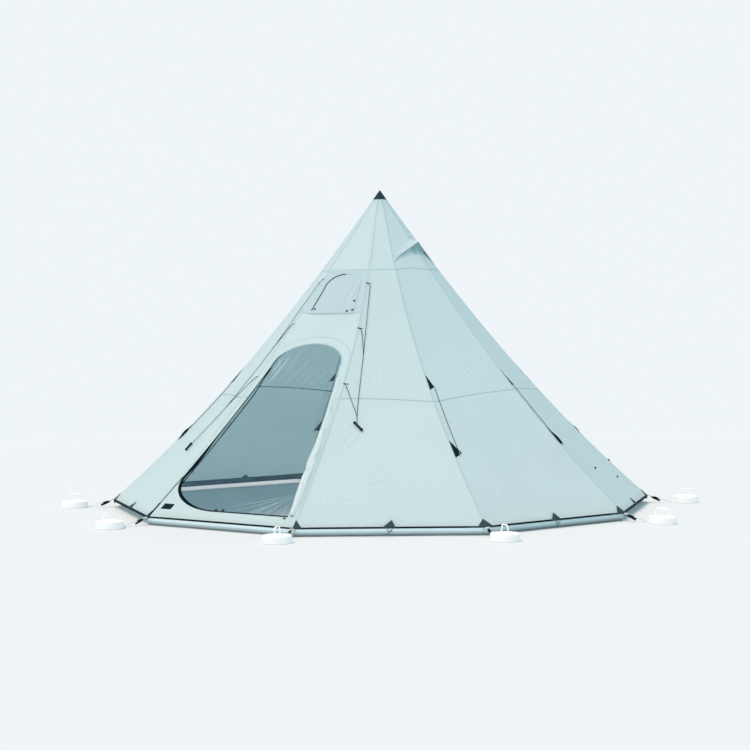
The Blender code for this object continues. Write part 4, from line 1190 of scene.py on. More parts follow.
# Where no skirt hangs from it, the webbing is wider and a dark band of it drops below the hem.
for panel in range(1, SIDES + 1):
    if panel in SKIRTS:
        continue
    offsets = np.linspace(0.004, float(panel_width(panel, HEM_HEIGHT)) - 0.004, HEM_BAND_ROWS)
    drop = HEM_DROP.get(panel, BACK_HEM_DROP)
    edge = [(-0.0004, -0.0018), (-drop, -0.0018), (-drop, -0.0036), (-0.0004, -0.0036)]
    rings = [flat_point(panel, HEM_HEIGHT, offsets, lift) + UP * fall for fall, lift in edge]
    trim.sweep(np.stack(rings, axis=1), around=[0.0, 0.010, 0.010, 0.0])

foot = HEM_HEIGHT + 0.001
patches = Batch()
for panel in range(1, SIDES + 1):
    high = HEM_PROUD + PATCH_PROUD
    end = float(panel_width(panel, foot))
    tip = float(panel_width(panel, CORNER_PATCH_TOP))
    middle = end * MIDDLE_SHARE
    if panel != DOOR_PANEL:
        for left, right, seam in (
            (-CORNER_LAP, CORNER_PATCH_WIDTH, -CORNER_LAP),
            (end - CORNER_PATCH_WIDTH, end + CORNER_LAP, tip + CORNER_LAP),
        ):
            top = (seam, CORNER_PATCH_TOP)
            triangle(patches, panel, (left, foot), (right, foot), top, 0.0, high)
        for half, top, low, high in (MIDDLE_PATCH, INNER_PATCH):
            triangle(patches, panel, (middle - half, foot), (middle + half, foot), (middle, top), low, high)

# %% Tabs and pockets of the stowed lines
TAB = [(0.0, 1.190), (0.0, 1.050), (0.052, 1.072)]
POCKET = [(0.0, 0.710), (0.0, 0.580), (0.070, 0.615)]
TAB_PLACES = {
    4: [(0.0, 1.155), (0.0, 1.036), (0.053, 1.057)],
    5: [(0.010, 1.190), (0.0, 1.050), (0.098, 1.056)],
    9: [(0.0, 1.108), (0.0, 1.032), (0.060, 1.028)],
}
POCKET_PLACES = {
    4: [(0.0, 0.662), (0.0, 0.535), (0.076, 0.566)],
    5: [(0.030, 0.720), (0.010, 0.585), (0.117, 0.588)],
    9: [(0.0, 0.645), (0.0, 0.540), (0.068, 0.545)],
}
ANCHOR_LOOP = np.linspace(-0.012, 0.040, 12)
ANCHOR_LOOP_SLANT = 0.16
TAB_PROUD = 0.0016
POCKET_BULGE = 0.014

pockets = Batch()
for ridge in GUY_RIDGES:
    for top, low_corner, outer in (TAB_PLACES.get(ridge, TAB), POCKET_PLACES.get(ridge, POCKET)):
        triangle(pockets, ridge, low_corner, outer, top, 0.0, TAB_PROUD)
        inside = [(x * 0.8, z) for x, z in (low_corner, outer, top)]
        triangle(pockets, ridge, *inside, -0.0030, -0.0012)
    # The line's spare length is bundled in the pocket, which bulges over it.
    top, low_corner, outer = np.array(POCKET_PLACES.get(ridge, POCKET))
    bundle = np.linspace(0, 1, 12)
    middle = top + ((low_corner + outer) / 2 - top) * (0.35 + 0.65 * bundle[:, None])
    girth = POCKET_BULGE * np.sin(math.pi * (0.10 + 0.72 * bundle)) ** 0.8
    pockets.rod(around_point(ridge, middle[:, 1], middle[:, 0], 0.002), girth, sides=10)

# The short dark loop on the ridge at each anchor of the branched lines, and its keeper.
for ridge, plan in BRIDLES.items():
    side = plan["side"]
    for _, height in plan["knots"]:
        z = height + BRIDLE_ANCHOR_RISE
        panel, edge = (ridge, 0.0) if side > 0 else (ridge - 1, float(panel_width(ridge - 1, z)))
        route = [(edge + side * x, z + 0.004 - ANCHOR_LOOP_SLANT * abs(x)) for x in ANCHOR_LOOP]
        strip(trim, panel, route, 0.006, 0.0, TAB_PROUD)

# Ridge 2 turns into dark webbing at its foot, and narrows towards the doorway's corner.
for side in (-1, 1):
    route = [(side * 0.006, z) for z in np.linspace(HEM_HEIGHT + 0.004, 0.165, 10)]
    strip(trim, DOOR_PANEL, route, 0.012, 0.0008, 0.0020)
route = [(0.005 + 0.012 * s, 0.160 + 0.195 * s) for s in np.linspace(0, 1, 12)]
strip(trim, DOOR_PANEL, route, 0.007, 0.0008, 0.0020)
trim_piece = trim.show("webbing_trim", "slate_webbing", replaced=["hem_webbing"])
patch_piece = patches.show("corner_patches", "slate_webbing")
pocket_piece = pockets.show("tabs_and_pockets", "slate_webbing")
print("webbing faces:", len(trim.faces) + len(patches.faces))

# %% [markdown]
# ## The cap at the peak
#
# The peak wears a pointed cap of coated cloth, which keeps rain out of the ten seams that meet there.
# It is a ten-sided cone with rounded ridges and a rolled lower edge.

# %% Peak cap
CAP_LENGTH = 0.078
CAP_TOP = 2.6990
CAP_ROWS = 14
CAP_SPLITS = 4

cap = Batch()
outer, inner = [], []
for z in np.linspace(APEX_HEIGHT - CAP_LENGTH, CAP_TOP, CAP_ROWS):
    ring = []
    for ridge in range(1, SIDES + 1):
        here, there = ridge_point(ridge, z), ridge_point(ridge + 1, z)
        for share in np.linspace(0, 1, CAP_SPLITS, endpoint=False):
            flat = here + (there - here) * share
            round_out = 1 + 0.035 * math.sin(math.pi * share)
            ring.append([flat[0] * round_out, flat[1] * round_out, z])
    ring = np.array(ring)
    away = unit(ring * [1, 1, 0])
    swell = 0.0006 * math.exp(-(((z - (APEX_HEIGHT - CAP_LENGTH)) / 0.006) ** 2))
    outer.append(ring + away * (0.0026 + swell))
    inner.append(ring + away * 0.0008)
cap.sweep([*inner[::-1][CAP_ROWS - 4:], *outer])
cap_piece = cap.show("peak_cap", "slate_webbing", replaced=["apex_cap"])
print("cap reaches", round(max(point[2] for point in cap.points), 4))

# %% [markdown]
# ## Netting
#
# The mesh door, the window and the vent hold insect netting. Netting is a single thin sheet, so it is
# built as one grid between the edges of its opening. The door's netting is slack: it gathers in a fan
# at its lower right corner and in long diagonal folds from its upper left.

# %% Netting sheets
def outline_sheet(rows, columns, lift, panel=DOOR_PANEL):
    """A sheet between the left and right edge of an outline. The lift may be a function of the place."""
    share = np.linspace(0, 1, columns)
    rings = []
    for z, left, right in rows:
        x = left + (right - left) * share
        z = np.full(columns, z)
        rings.append(flat_point(panel, z, x, lift(z, x, share) if callable(lift) else lift))
    return rings


FAN_HEIGHT = 0.290
CREASE_DEPTH = 0.0040
NETTING_STREAKS = [
    # lower end, upper end (both from the left ridge, and height), half width, strength
    ((0.118, 1.130), (0.128, 1.310), 0.012, 0.80),
    ((0.162, 1.060), (0.190, 1.345), 0.010, 0.70),
    ((0.132, 1.020), (0.205, 1.320), 0.007, 0.45),
    ((0.235, 1.080), (0.275, 1.350), 0.014, 0.30),
    ((0.330, 1.020), (0.410, 1.340), 0.012, 0.22),
    ((0.470, 1.000), (0.590, 1.330), 0.014, 0.18),
]


def ridges(distance, pitch, sharpness=1.6):
    """Rounded crests with a pitch, as a height from 0 to 1."""
    return ((1 + np.cos(2 * math.pi * distance / pitch)) / 2) ** sharpness


def netting_creases(z, x):
    """Where the slack netting gathers, from 0 to 1: a fan at the lower right, streaks at the upper left."""
    left, right, _ = rows_at(doorway(), z)
    below, beside = (FAN_HEIGHT - z) * SLOPE_STRETCH, right - x
    ray = np.degrees(np.arctan2(below, beside))
    fan = ridges(ray + 2.2 * np.sin(0.31 * ray) + 5 * beside, 8.0, 1.8)
    fan = fan * ease((ray - 9) / 9) * ease((0.72 - np.hypot(beside, below)) / 0.45)
    slope = z * SLOPE_STRETCH
    streaks = 0.0
    for low, high, width, strength in NETTING_STREAKS:
        along = (z - low[1]) / (high[1] - low[1])
        aside = x - (low[0] + (high[0] - low[0]) * along) - 0.006 * np.sin(3 * along)
        streak = strength * np.exp(-((aside / width) ** 2))
        streaks = streaks + streak * ease(along / 0.35) * ease((1 - along) / 0.3)
    steep = ridges(x * 0.906 - slope * 0.423 + 0.012 * np.sin(5 * z), 0.083, 2.0)
    steep = steep * ease((z - 0.75) / 0.35) * ease((x - left) / 0.2)
    return np.clip(0.40 * fan + streaks + 0.16 * steep, 0, 1)


def netting_folds(z, x, share):
    """How far the door's netting stands in or out."""
    edge = np.sin(math.pi * share) * ease((z - DOOR_SILL) / 0.03)
    return -0.0012 + edge * (CREASE_DEPTH * netting_creases(z, x) + 0.0014 * np.sin(3.0 * x + 5.0 * z))


NETTING_GAP = 0.004
NETTING_COLUMNS = 150
netting = Batch()
netting_rows = doorway(NETTING_GAP, 0.0015, fine=10)
netting.sweep(outline_sheet(netting_rows, NETTING_COLUMNS, netting_folds), open_ring=True)
netting_mesh = netting.mesh("netting_door")
share = np.linspace(0, 1, NETTING_COLUMNS)
gathers = []
for z, left, right in netting_rows:
    gathers.append(netting_creases(np.full(NETTING_COLUMNS, z), left + (right - left) * share))
mark(netting_mesh, "gathered", gathers)
netting_door = show("netting_door", netting_mesh, "mesh_door", "insect_mesh", ["mesh_door"])


def outline_area(rows, panel=DOOR_PANEL):
    """Area of flat cloth inside an outline."""
    middle = flat_point(panel, rows[:, 0], (rows[:, 1] + rows[:, 2]) / 2)
    return cloth_area(middle, rows[:, 2] - rows[:, 1])


door_area = outline_area(doorway())
door_slope = float(np.linalg.norm(
    flat_point(DOOR_PANEL, doorway()[-1, 0], 0.5) - flat_point(DOOR_PANEL, DOOR_SILL, 0.5)
))
door_width = float((doorway()[:, 2] - doorway()[:, 1]).max())
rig.sheet(netting_door, flat=(door_width, door_slope), held="stretched", rests_on=["canopy"], area=door_area)

WINDOW_NET_GAP = 0.0008
WINDOW_NET_LENGTH = 0.45
window_netting = Batch()
window_netting.sweep(outline_sheet(window_opening(WINDOW_NET_GAP), 24, -0.0016), open_ring=True)
window_net = window_netting.show("window_netting", "insect_mesh", replaced=["window_mesh"])
window_cut = (2 * WINDOW_HALF_WIDTH_LOW, WINDOW_NET_LENGTH)
window_area = outline_area(window_opening())
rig.sheet(window_net, flat=window_cut, held="stretched", rests_on=["canopy"], area=window_area)

vent_netting = Batch()
vent_offsets = np.linspace(-VENT_WIDTH / 2 + 0.0008, VENT_WIDTH / 2 - 0.0008, 13)
low_edge, high_edge = vent_rows[0] + 0.0006, vent_rows[-1] - 0.0006
vent_heights = np.linspace(low_edge, high_edge, 8)
vent_netting.sweep([around_point(VENT_RIDGE, z, vent_offsets, -0.0014) for z in vent_heights], open_ring=True)
vent_net = vent_netting.show("vent_netting", "insect_mesh", replaced=["vent_mesh"])
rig.sheet(vent_net, flat=(VENT_WIDTH, VENT_SLOPE_LENGTH), held="stretched", rests_on=["canopy"])
print("door netting:", round(door_area, 3), "m2 of", round(door_width, 2), "x", round(door_slope, 2))

# %% [markdown]
# ## Zips
#
# A zip is a coil of plastic loops sewn to a fabric tape. The outer door's zip runs from the slider at
# the right end of the sill, round the lower left corner and up the left side. A second zip, for the
# netting, lies a hand's width inside it. The tape is a strip, which widens low on the left into a dark
# band of painted shadow, and the coil a thin rod with fine rings.

# %% Zip tapes and coils
ZIP_COIL_RADIUS = 0.0024


def coil(batch, panel, route, radius, lift, count=240):
    """A zip's coil along a route of places."""
    path = smooth_path(np.asarray(route, float), count)
    batch.rod(around_point(panel, path[:, 1], path[:, 0], lift), radius, sides=6)


def door_route(reach, first, last, count=160):
    """Places along the doorway from the right end of its sill, clockwise, over the top."""
    left, right = sides_of(doorway(fine=4))
    sill_run = right[-1] + (left[0] - right[-1]) * np.linspace(0, 1, 30)[:, None]
    loop = np.concatenate([sill_run[:-1], left, right])
    return stretch_of(moved_off(loop, reach), first, last, count)


# The dark tape widens to 34 mm low on the left: part zip tape, part painted shadow beside the doorway's edge.
RIM_TAPE_HEIGHTS = [0.135, 0.145, 0.180, 0.250, 0.354, 0.445, 0.520, 0.600, 0.670, 0.800, 1.200]
RIM_TAPE_SHADE_WIDTHS = [0.006, 0.010, 0.018, 0.020, 0.022, 0.034, 0.028, 0.016, 0.008, 0.005, 0.004]
RIM_TAPE_REACH = 0.004
zips = Batch()
coil(zips, DOOR_PANEL, door_route(0.0010, 0.0, 0.53), ZIP_COIL_RADIUS, 0.0012)
rim = door_route(RIM_TAPE_REACH, 0.0, 0.54, count=200)
tape = np.interp(rim[:, 1], RIM_TAPE_HEIGHTS, RIM_TAPE_SHADE_WIDTHS)[:, None]
inward = moved_off(rim, -(tape + RIM_TAPE_REACH))
rings = []
for side, lift in ((rim, 0.0), (rim, 0.0012), (inward, 0.0006), (inward, -0.0002)):
    rings.append(flat_point(DOOR_PANEL, side[:, 1], side[:, 0], lift))
zips.sweep(np.stack(rings, axis=1), around=[0.0, 0.0, 0.010, 0.010])
zip_piece = zips.show("outer_door_zip", "black_plastic")

light_tape = Batch()
strip(light_tape, DOOR_PANEL, door_route(0.006, 0.535, 0.995), 0.011, 0.0, 0.0012)
binding_piece = light_tape.show("doorway_binding", "canopy_cloth")

MESH_SLIDER_INSET = 0.040
MESH_ZIP_TOP = 1.200
MESH_ZIP_TURN = 0.960
inner_zip = Batch()
z = np.linspace(0.300, MESH_ZIP_TOP, 60)
left_edge = DOOR_LEFT_MARGIN_LOW + (DOOR_LEFT_MARGIN_HIGH - DOOR_LEFT_MARGIN_LOW) * (
    (z - DOOR_SILL - DOOR_CORNER_HEIGHT) / (DOOR_SPRING_HEIGHT - DOOR_SILL - DOOR_CORNER_HEIGHT)
)
rows_left = rows_at(doorway(), z)[0]
inner_left = np.maximum(left_edge + MESH_SLIDER_INSET, rows_left + 0.010)
closing = ease((z - MESH_ZIP_TURN) / (MESH_ZIP_TOP - MESH_ZIP_TURN))
inner_left = inner_left + (rows_left + 0.007 - inner_left) * closing
columns = []
for reach, lift in ((-0.005, 0.0002), (-0.005, 0.0012), (0.005, 0.0012), (0.005, 0.0002)):
    columns.append(flat_point(DOOR_PANEL, z, inner_left + reach, lift))
inner_zip.sweep(np.stack(columns, axis=1), around=[0.0, 0.0, 0.005, 0.005])
inner_zip.rod(flat_point(DOOR_PANEL, z, inner_left, 0.0020), 0.0016, sides=6)
inner_zip_piece = inner_zip.show("netting_zip", "black_plastic", "mesh_door")

# A strip of cloth joins the netting to the doorway's left edge.
facing = Batch()
rows = doorway(NETTING_GAP + 0.001, 0.0, fine=4)
rows = rows[(rows[:, 0] > 0.20) & (rows[:, 0] < 1.20)]
gap_left = rows[:, 1]
gap_right = np.interp(rows[:, 0], z, inner_left) - 0.004
gap_right = np.maximum(gap_right, gap_left + 0.002)
columns = []
for share in (0, 0.33, 0.67, 1):
    columns.append(flat_point(DOOR_PANEL, rows[:, 0], gap_left + (gap_right - gap_left) * share, 0.0006))
facing.sweep(np.stack(columns, axis=1), open_ring=True)
facing_piece = facing.show("netting_facing", "insect_mesh", "mesh_door")
print("zip faces:", len(zips.faces) + len(inner_zip.faces))

# %% [markdown]
# ## The rolled outer door
#
# The open door is one big piece of the same cloth, rolled up from its free edge and tied beside the
# doorway. A solid sausage would look like a cushion. So the roll is a real spiral of sixteen turns,
# squeezed into soft lobes that wander along its length, and drawn in where the ties hold it.

# %% Rolled door as a spiral sheet
ROLL_FOOT = 0.140
ROLL_TOP = 1.130
ROLL_INNER = 0.003
ROLL_FLATNESS = 0.72
ROLL_TURNS = 16
ROLL_STEPS = 352
ROLL_TAIL = 8
ROLL_STATIONS = 96
ROLL_TIES = (0.30, 0.60, 0.90)
TIE_GRIP = 0.98
# Strength and count per turn of the painted highlights and shade that mark the roll's creases.
ROLL_PAINTED_CREASE_STRENGTH = 1.8
ROLL_CREASES = 6
ROLL_PLACES = [0.0, 0.08, 0.25, 0.60, 0.85, 1.0]
ROLL_RADII = [0.016, 0.028, 0.033, 0.025, 0.015, 0.009]
ROLL_INSETS = [0.056, 0.052, 0.051, 0.056, 0.063, 0.068]
# The outer turn comes down on the right side of the roll and runs on to the seam.
ROLL_END_ANGLE = math.radians(22)


def roll_size(t):
    """Half width and inset of the roll at a share of its length, narrower at its ties."""
    pinch = 1 - 0.14 * sum(math.exp(-(((t - tie) / 0.022) ** 2)) for tie in ROLL_TIES)
    return float(np.interp(t, ROLL_PLACES, ROLL_RADII)) * pinch, float(np.interp(t, ROLL_PLACES, ROLL_INSETS))


rings, depths, phases = [], [], []
grow = np.linspace(0, 1, ROLL_STEPS)
tail = np.linspace(0, 1, ROLL_TAIL + 1)[1:]
for t in np.linspace(0, 1, ROLL_STATIONS):
    radius, inset = roll_size(t)
    reach = ROLL_INNER + (radius - ROLL_INNER) * grow
    angle = ROLL_END_ANGLE + 2 * math.pi * ROLL_TURNS * (1 - grow) + 1.4 * math.sin(4.2 * t) * (1 - grow)
    lobes = 1 - grow * (0.10 + 0.07 * np.cos(3 * angle + 7 * t) + 0.04 * np.cos(5 * angle - 13 * t))
    lobes = lobes - 0.05 * grow * (1 - np.cos(8 * angle + 26 * t)) / 2
    height = ROLL_FOOT + (ROLL_TOP - ROLL_FOOT) * t
    sway = 0.0030 * math.sin(11 * t + 0.6) + 0.0022 * math.sin(29 * t)
    centre = float(panel_width(DOOR_PANEL, height)) - inset + sway
    x = centre + reach * lobes * np.cos(angle)
    lift = 0.0012 + radius * ROLL_FLATNESS + reach * lobes * ROLL_FLATNESS * np.sin(angle)
    end_x, end_lift = x[-1], lift[-1]
    x = np.concatenate([x, end_x + (0.012 + 0.2 * radius) * tail])
    lift = np.concatenate([lift, end_lift + (0.0014 - end_lift) * ease(tail)])
    rings.append(flat_point(DOOR_PANEL, np.full(len(x), height), x, np.maximum(lift, 0.0013)))
    depths.append(np.concatenate([grow, 1 - tail]) * ROLL_PAINTED_CREASE_STRENGTH)
    turned = np.concatenate([angle, np.full(ROLL_TAIL, angle[-1])])
    phases.append(turned * ROLL_CREASES + 9 * t + 1.4 * math.sin(17 * t))
roll = Batch()
roll.sweep(rings, open_ring=True)
roll_mesh = roll.mesh("rolled_door")
# The finish reads these marks to paint highlights and shade along the roll's turns.
mark(roll_mesh, "pleat_depth", depths)
mark(roll_mesh, "pleat_phase", phases)
rolled_door = show("rolled_door", roll_mesh, "root", "canopy_cloth", ["door_roll"])
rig.sheet(rolled_door, flat=(door_width, door_slope), held="gathered", rests_on=["canopy"], area=door_area)

ties = Batch()
for tie in ROLL_TIES:
    height = ROLL_FOOT + (ROLL_TOP - ROLL_FOOT) * tie
    radius, inset = roll_size(tie)
    loop = []
    for angle in np.linspace(math.radians(-30), math.radians(210), 26):
        x = panel_width(DOOR_PANEL, height) - inset + radius * TIE_GRIP * math.cos(angle)
        lift = 0.0012 + radius * ROLL_FLATNESS * (1 + TIE_GRIP * math.sin(angle))
        loop.append(flat_point(DOOR_PANEL, height, x, lift))
    ties.rod(loop, 0.0016, sides=6)
tie_piece = ties.show("roll_ties", "canopy_cloth")
print("roll faces:", len(roll.faces))

# %% [markdown]
# ## The window's flap
#
# A flap of tent cloth closes the window from outside. It is zipped along its left side and top and
# gathers in loose upright folds on the right. Small dark toggles hold it at its corners. It is a
# sheet of its own that rides on the flap's hinge, so it opens when the joint moves.

# %% Window flap, its zip and toggles
FLAP_LIFT = 0.0020
FLAP_EDGE_LIFT = 0.0008
FLAP_FOLD = 0.0040
FLAP_COLUMNS = 72
FLAP_EDGING_INSET = 0.020
WINDOW_FLAP_LAP = 0.015
THIN_CLOTH = 0.0008


def flap_folds(z, share):
    """Lift of the flap, and the depth and phase of the loose upright folds over its right part."""
    rise = (z - WINDOW_SILL) / (WINDOW_SPRING_HEIGHT + WINDOW_ARCH_RISE - WINDOW_SILL)
    loose = ease((share - 0.52) / 0.20) * ease((1.0 - share) / 0.10)
    loose = loose * ease(rise / 0.06) * ease((1.02 - rise) / 0.35)
    turn = 2 * math.pi * (share * 5.2 - 0.35 * rise + 0.15 * np.sin(5 * rise))
    slack = np.sin(math.pi * share) * ease(rise / 0.2) * ease((1 - rise) / 0.3)
    lift = FLAP_EDGE_LIFT + (FLAP_LIFT - FLAP_EDGE_LIFT) * ease((rise + 0.03) / 0.10)
    lift = lift + FLAP_FOLD * loose * (1 - np.cos(turn)) / 2
    lift = lift + 0.0012 * slack * (1 + np.sin(4 * rise + 2 * share))
    return lift, loose, turn + math.pi


flap_rows = window_opening(-WINDOW_FLAP_LAP, fine=4)
flap = Batch()
rings = outline_sheet(flap_rows, FLAP_COLUMNS, lambda z, _, share: flap_folds(z, share)[0])
flap.sweep(rings, open_ring=True)
flap_mesh = flap.mesh("window_flap_cloth")
share = np.linspace(0, 1, FLAP_COLUMNS)
folds = [flap_folds(z, share) for z in flap_rows[:, 0]]
# The finish reads these marks to paint highlights and shade on the loose folds.
mark(flap_mesh, "pleat_depth", [loose for _, loose, _ in folds])
mark(flap_mesh, "pleat_phase", [turn for _, _, turn in folds])
window_flap = show("window_flap_cloth", flap_mesh, "window_flap", "canopy_cloth", ["window_flap"])
thicken(window_flap, THIN_CLOTH)
flap_area = outline_area(flap_rows)
flap_height = (WINDOW_SPRING_HEIGHT + WINDOW_ARCH_RISE - WINDOW_SILL + 2 * WINDOW_FLAP_LAP) * SLOPE_STRETCH
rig.sheet(window_flap, flat=(2 * (WINDOW_HALF_WIDTH_LOW + WINDOW_FLAP_LAP), flap_height), held="hung",
         rests_on=["canopy"], area=flap_area)


def flap_edging(name, slot, first, last, lift, radius):
    """A rod inside the flap's edge, between two shares of the way from its lower left to its lower right."""
    edging = Batch()
    x, z = outline_route(flap_rows, -FLAP_EDGING_INSET, first, last, count=90).T
    edging.rod(flat_point(DOOR_PANEL, z, x, lift), radius, sides=6)
    return edging.show(name, slot, "window_flap")


flap_zip_piece = flap_edging("window_zip", "black_plastic", 0.035, 0.47, 0.0040, 0.0038)
piping_piece = flap_edging("window_piping", "canopy_cloth", 0.47, 0.62, 0.0034, 0.0026)

TOGGLE_HALF = 0.0085
FLAP_TOGGLE_LIFT = 0.0068
FLAP_TOGGLES = [(0.124, 1.679), (0.467, 1.661), (0.515, 1.669), (0.474, 1.744)]
SILL_TOGGLES = [(0.604, 0.146), (0.669, 0.149)]


def small_toggle(batch, panel, offset, height, lift, lean=0.3):
    """A barrel toggle with a rounded waist."""
    share = np.linspace(-1, 1, 9)
    z = height + share * TOGGLE_HALF * math.sin(lean) / SLOPE_STRETCH
    x = offset + share * TOGGLE_HALF * math.cos(lean)
    girth = 0.0062 * np.array([0.55, 0.92, 1.0, 0.86, 0.72, 0.86, 1.0, 0.92, 0.55])
    batch.rod(flat_point(panel, z, x, lift), girth, sides=10)


flap_toggles = Batch()
for offset, height in FLAP_TOGGLES:
    small_toggle(flap_toggles, DOOR_PANEL, offset, height, FLAP_TOGGLE_LIFT)
    flap_toggles.rod(flat_point(DOOR_PANEL, np.linspace(height, height + 0.012, 4), np.full(4, offset),
                                np.linspace(FLAP_TOGGLE_LIFT, 0.0030, 4)), 0.0012, sides=6)
flap_toggle_piece = flap_toggles.show("flap_toggles", "black_plastic", "window_flap")

# The cloth round the window is doubled, from the crown's seam down to the sill.
surround = Batch()
heights = np.linspace(flap_rows[0, 0] + 0.004, CROWN_SEAM_HEIGHT - 0.006, 50)
flap_left, flap_right, _ = rows_at(flap_rows, heights)
centre = (flap_rows[-1, 1] + flap_rows[-1, 2]) / 2
above = heights > flap_rows[-1, 0]
flap_left = np.where(above, centre, flap_left + 0.003)
flap_right = np.where(above, centre, flap_right - 0.003)
for first, last in ((np.full(50, 0.009), flap_left), (flap_right, panel_width(DOOR_PANEL, heights) - 0.009)):
    rows = [cloth_point(DOOR_PANEL, np.full(24, z), np.linspace(a, b, 24), 0.0005)
            for z, a, b in zip(heights, first, last)]
    surround.sweep(rows, open_ring=True)
surround_piece = surround.show("window_surround", "canopy_cloth")
print("flap:", round(flap_area, 3), "m2")

# %% [markdown]
# ## The vent and its hood
#
# The hood is a scoop of cloth that is sewn over the crown and held open by a short batten. Its free
# edge swings from one foot to the other over a peak. The sheet is spread between its sewn line and its
# brim, with a little sag between them, and it flattens when the batten folds down.

# %% Vent hood
HOOD_SEAM_PEAK = 2.273
HOOD_SEAM_SIDE = 2.162
HOOD_PEAK_HEIGHT = 2.248
HOOD_DROP = 0.180
HOOD_REACH = 0.062
HOOD_STRAIGHT_SHARE = 0.8
HOOD_FOOT_POWER = 8
HOOD_COLUMNS = 81
HOOD_ROWS = 15
HOOD_THICKNESS = 0.0010
HOOD_KEEP = 0.25


def crown_surface(s, height, lift=0.0016):
    """A point just off the crown, from s = -1 at one side of the vent ridge's panels to s = 1."""
    panel = VENT_RIDGE - 1 if s < 0 else VENT_RIDGE
    share = s + 1 if s < 0 else s
    return flat_point(panel, height, panel_width(panel, height) * share, lift)


def hood_point(s, v):
    """A point of the hood, v = 0 on its seam and v = 1 on its brim."""
    seam = crown_surface(s, HOOD_SEAM_PEAK + (HOOD_SEAM_SIDE - HOOD_SEAM_PEAK) * abs(s))
    share = HOOD_STRAIGHT_SHARE * abs(s) + (1 - HOOD_STRAIGHT_SHARE) * abs(s) ** HOOD_FOOT_POWER
    base = crown_surface(s, HOOD_PEAK_HEIGHT - HOOD_DROP * share)
    away = unit(np.array([base[0], base[1], 0.0]))
    brim = base + away * HOOD_REACH * (1 - abs(s))
    sag = 0.0030 * math.sin(math.pi * abs(s)) * v - 0.0014 * math.sin(math.pi * v) * math.sin(14 * s)
    return seam + (brim - seam) * v - away * sag * (1 - abs(s))


hood = Batch()
hood_places = np.linspace(-1, 1, HOOD_COLUMNS)
hood.sweep([[hood_point(s, v) for s in hood_places] for v in np.linspace(0, 1, HOOD_ROWS)], open_ring=True)
hood_mesh = hood.mesh("vent_hood_cloth")
vent_hood = show("vent_hood_cloth", hood_mesh, "root", "canopy_cloth", ["vent_hood"])
thicken(vent_hood, HOOD_THICKNESS)
hood_length = path_length([hood_point(s, 1) for s in hood_places])
hood_area = sum(face.area for face in hood_mesh.polygons)
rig.sheet(vent_hood, flat=(hood_length, hood_area / hood_length * 2), held="stretched", rests_on=["canopy"],
         area=hood_area)
hood_out = tuple(unit(np.array([*outward(azimuth(VENT_RIDGE))[:2], 0.35])))
hood_anchor = tuple(crown_surface(0.0, HOOD_PEAK_HEIGHT))
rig.squash(vent_hood, "vent_prop_fold", axis=hood_out, anchor=hood_anchor, keep=HOOD_KEEP)

brim = Batch()
brim.rod([hood_point(s, 1.0) for s in np.linspace(-0.985, 0.985, HOOD_COLUMNS)], 0.0022, sides=6)
hood_brim = brim.show("vent_hood_brim", "canopy_cloth")
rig.squash(hood_brim, "vent_prop_fold", axis=hood_out, anchor=hood_anchor, keep=HOOD_KEEP)
print("hood brim:", round(hood_length, 3), "m")

# %% [markdown]
# ## Ground skirts
#
# Below the hem of the three front sides hangs a strip of cloth that closes the gap to the ground. It
# isn't pulled tight, so it waves a little. The hem is the axis of each strip's joint. A strip that
# turned there as one stiff piece would tear off, so it bends: its top stays with the canopy, and a
# finger's width lower it moves with the body of its joint.

# %% Skirts
SKIRT_END_INSET = 0.022
SKIRT_TOP = HEM_HEIGHT - 0.0012
SKIRT_FOOT = 0.0052
SKIRT_COLUMNS = 110
SKIRT_ROWS = 13
SKIRT_INSET = CLOTH / 2 + 0.0006
SKIRT_BELLY = 0.0045
SKIRT_TUCK = 0.0080
SKIRT_BEND = 0.016
HEM_LOOP = [
    (-0.012, -0.007), (-0.020, -0.014), (-0.004, -0.026), (0.012, -0.018),
    (0.018, -0.006), (0.008, -0.016), (-0.012, -0.034), (-0.026, -0.044),
]

skirt_pieces = []
loop_pieces = []
for panel, body in SKIRTS.items():
    left, right = (ridge_point(ridge, HEM_HEIGHT, -SKIRT_INSET) for ridge in (panel, panel + 1))
    length = float(np.linalg.norm(right - left))
    along = (right - left) / length
    out = np.array([along[1], -along[0], 0.0])
    share = np.linspace(SKIRT_END_INSET / length, 1 - SKIRT_END_INSET / length, SKIRT_COLUMNS)
    rings = []
    for v in np.linspace(0, 1, SKIRT_ROWS):
        wave = np.sin(31 * share + panel) * 0.5 + np.sin(67 * share + 2 * panel + v) * 0.3
        wave = wave * np.sin(math.pi * (share - share[0]) / (share[-1] - share[0])) ** 0.5
        belly = SKIRT_BELLY * math.sin(math.pi * min(v * 1.6, 1.0))
        lift = 0.0030 * v**1.5 * wave + belly - SKIRT_TUCK * v**3
        foot_rise = 0.0012 * (1 + np.sin(23 * share + panel)) * v
        fall = SKIRT_TOP + (SKIRT_FOOT - SKIRT_TOP) * v + foot_rise - HEM_HEIGHT
        rings.append(left + np.outer(share * length, along) + np.outer(lift, out) + np.outer(fall, UP))
    skirt = Batch()
    skirt.sweep(rings, open_ring=True)
    middle = left + along * length / 2
    piece = show(f"ground_skirt_cloth_{panel}", skirt.mesh("ground_skirt_cloth"), body, "canopy_cloth",
                 [f"ground_skirt_{panel:02d}"], bend=(middle, middle - UP * SKIRT_BEND))
    thicken(piece, THIN_CLOTH)
    cut = (length - 2 * SKIRT_END_INSET, SKIRT_TOP - SKIRT_FOOT)
    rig.sheet(piece, flat=cut, held="hung", rests_on=["webbing_trim"])
    skirt_pieces.append(piece)
    if panel == DOOR_PANEL:
        continue
    loop = Batch()
    middle = (left + right) / 2 + out * 0.0085
    hang = [middle + along * x + UP * z + out * 0.0015 * step for step, (x, z) in enumerate(HEM_LOOP)]
    loop.rod(smooth_path(hang, 40), 0.0018, sides=6)
    loop_pieces.append(loop.show(f"hem_loop_{panel}", "guy_cord", body))
print("skirt strips:", len(SKIRTS), "each about", round(length, 3), "m")

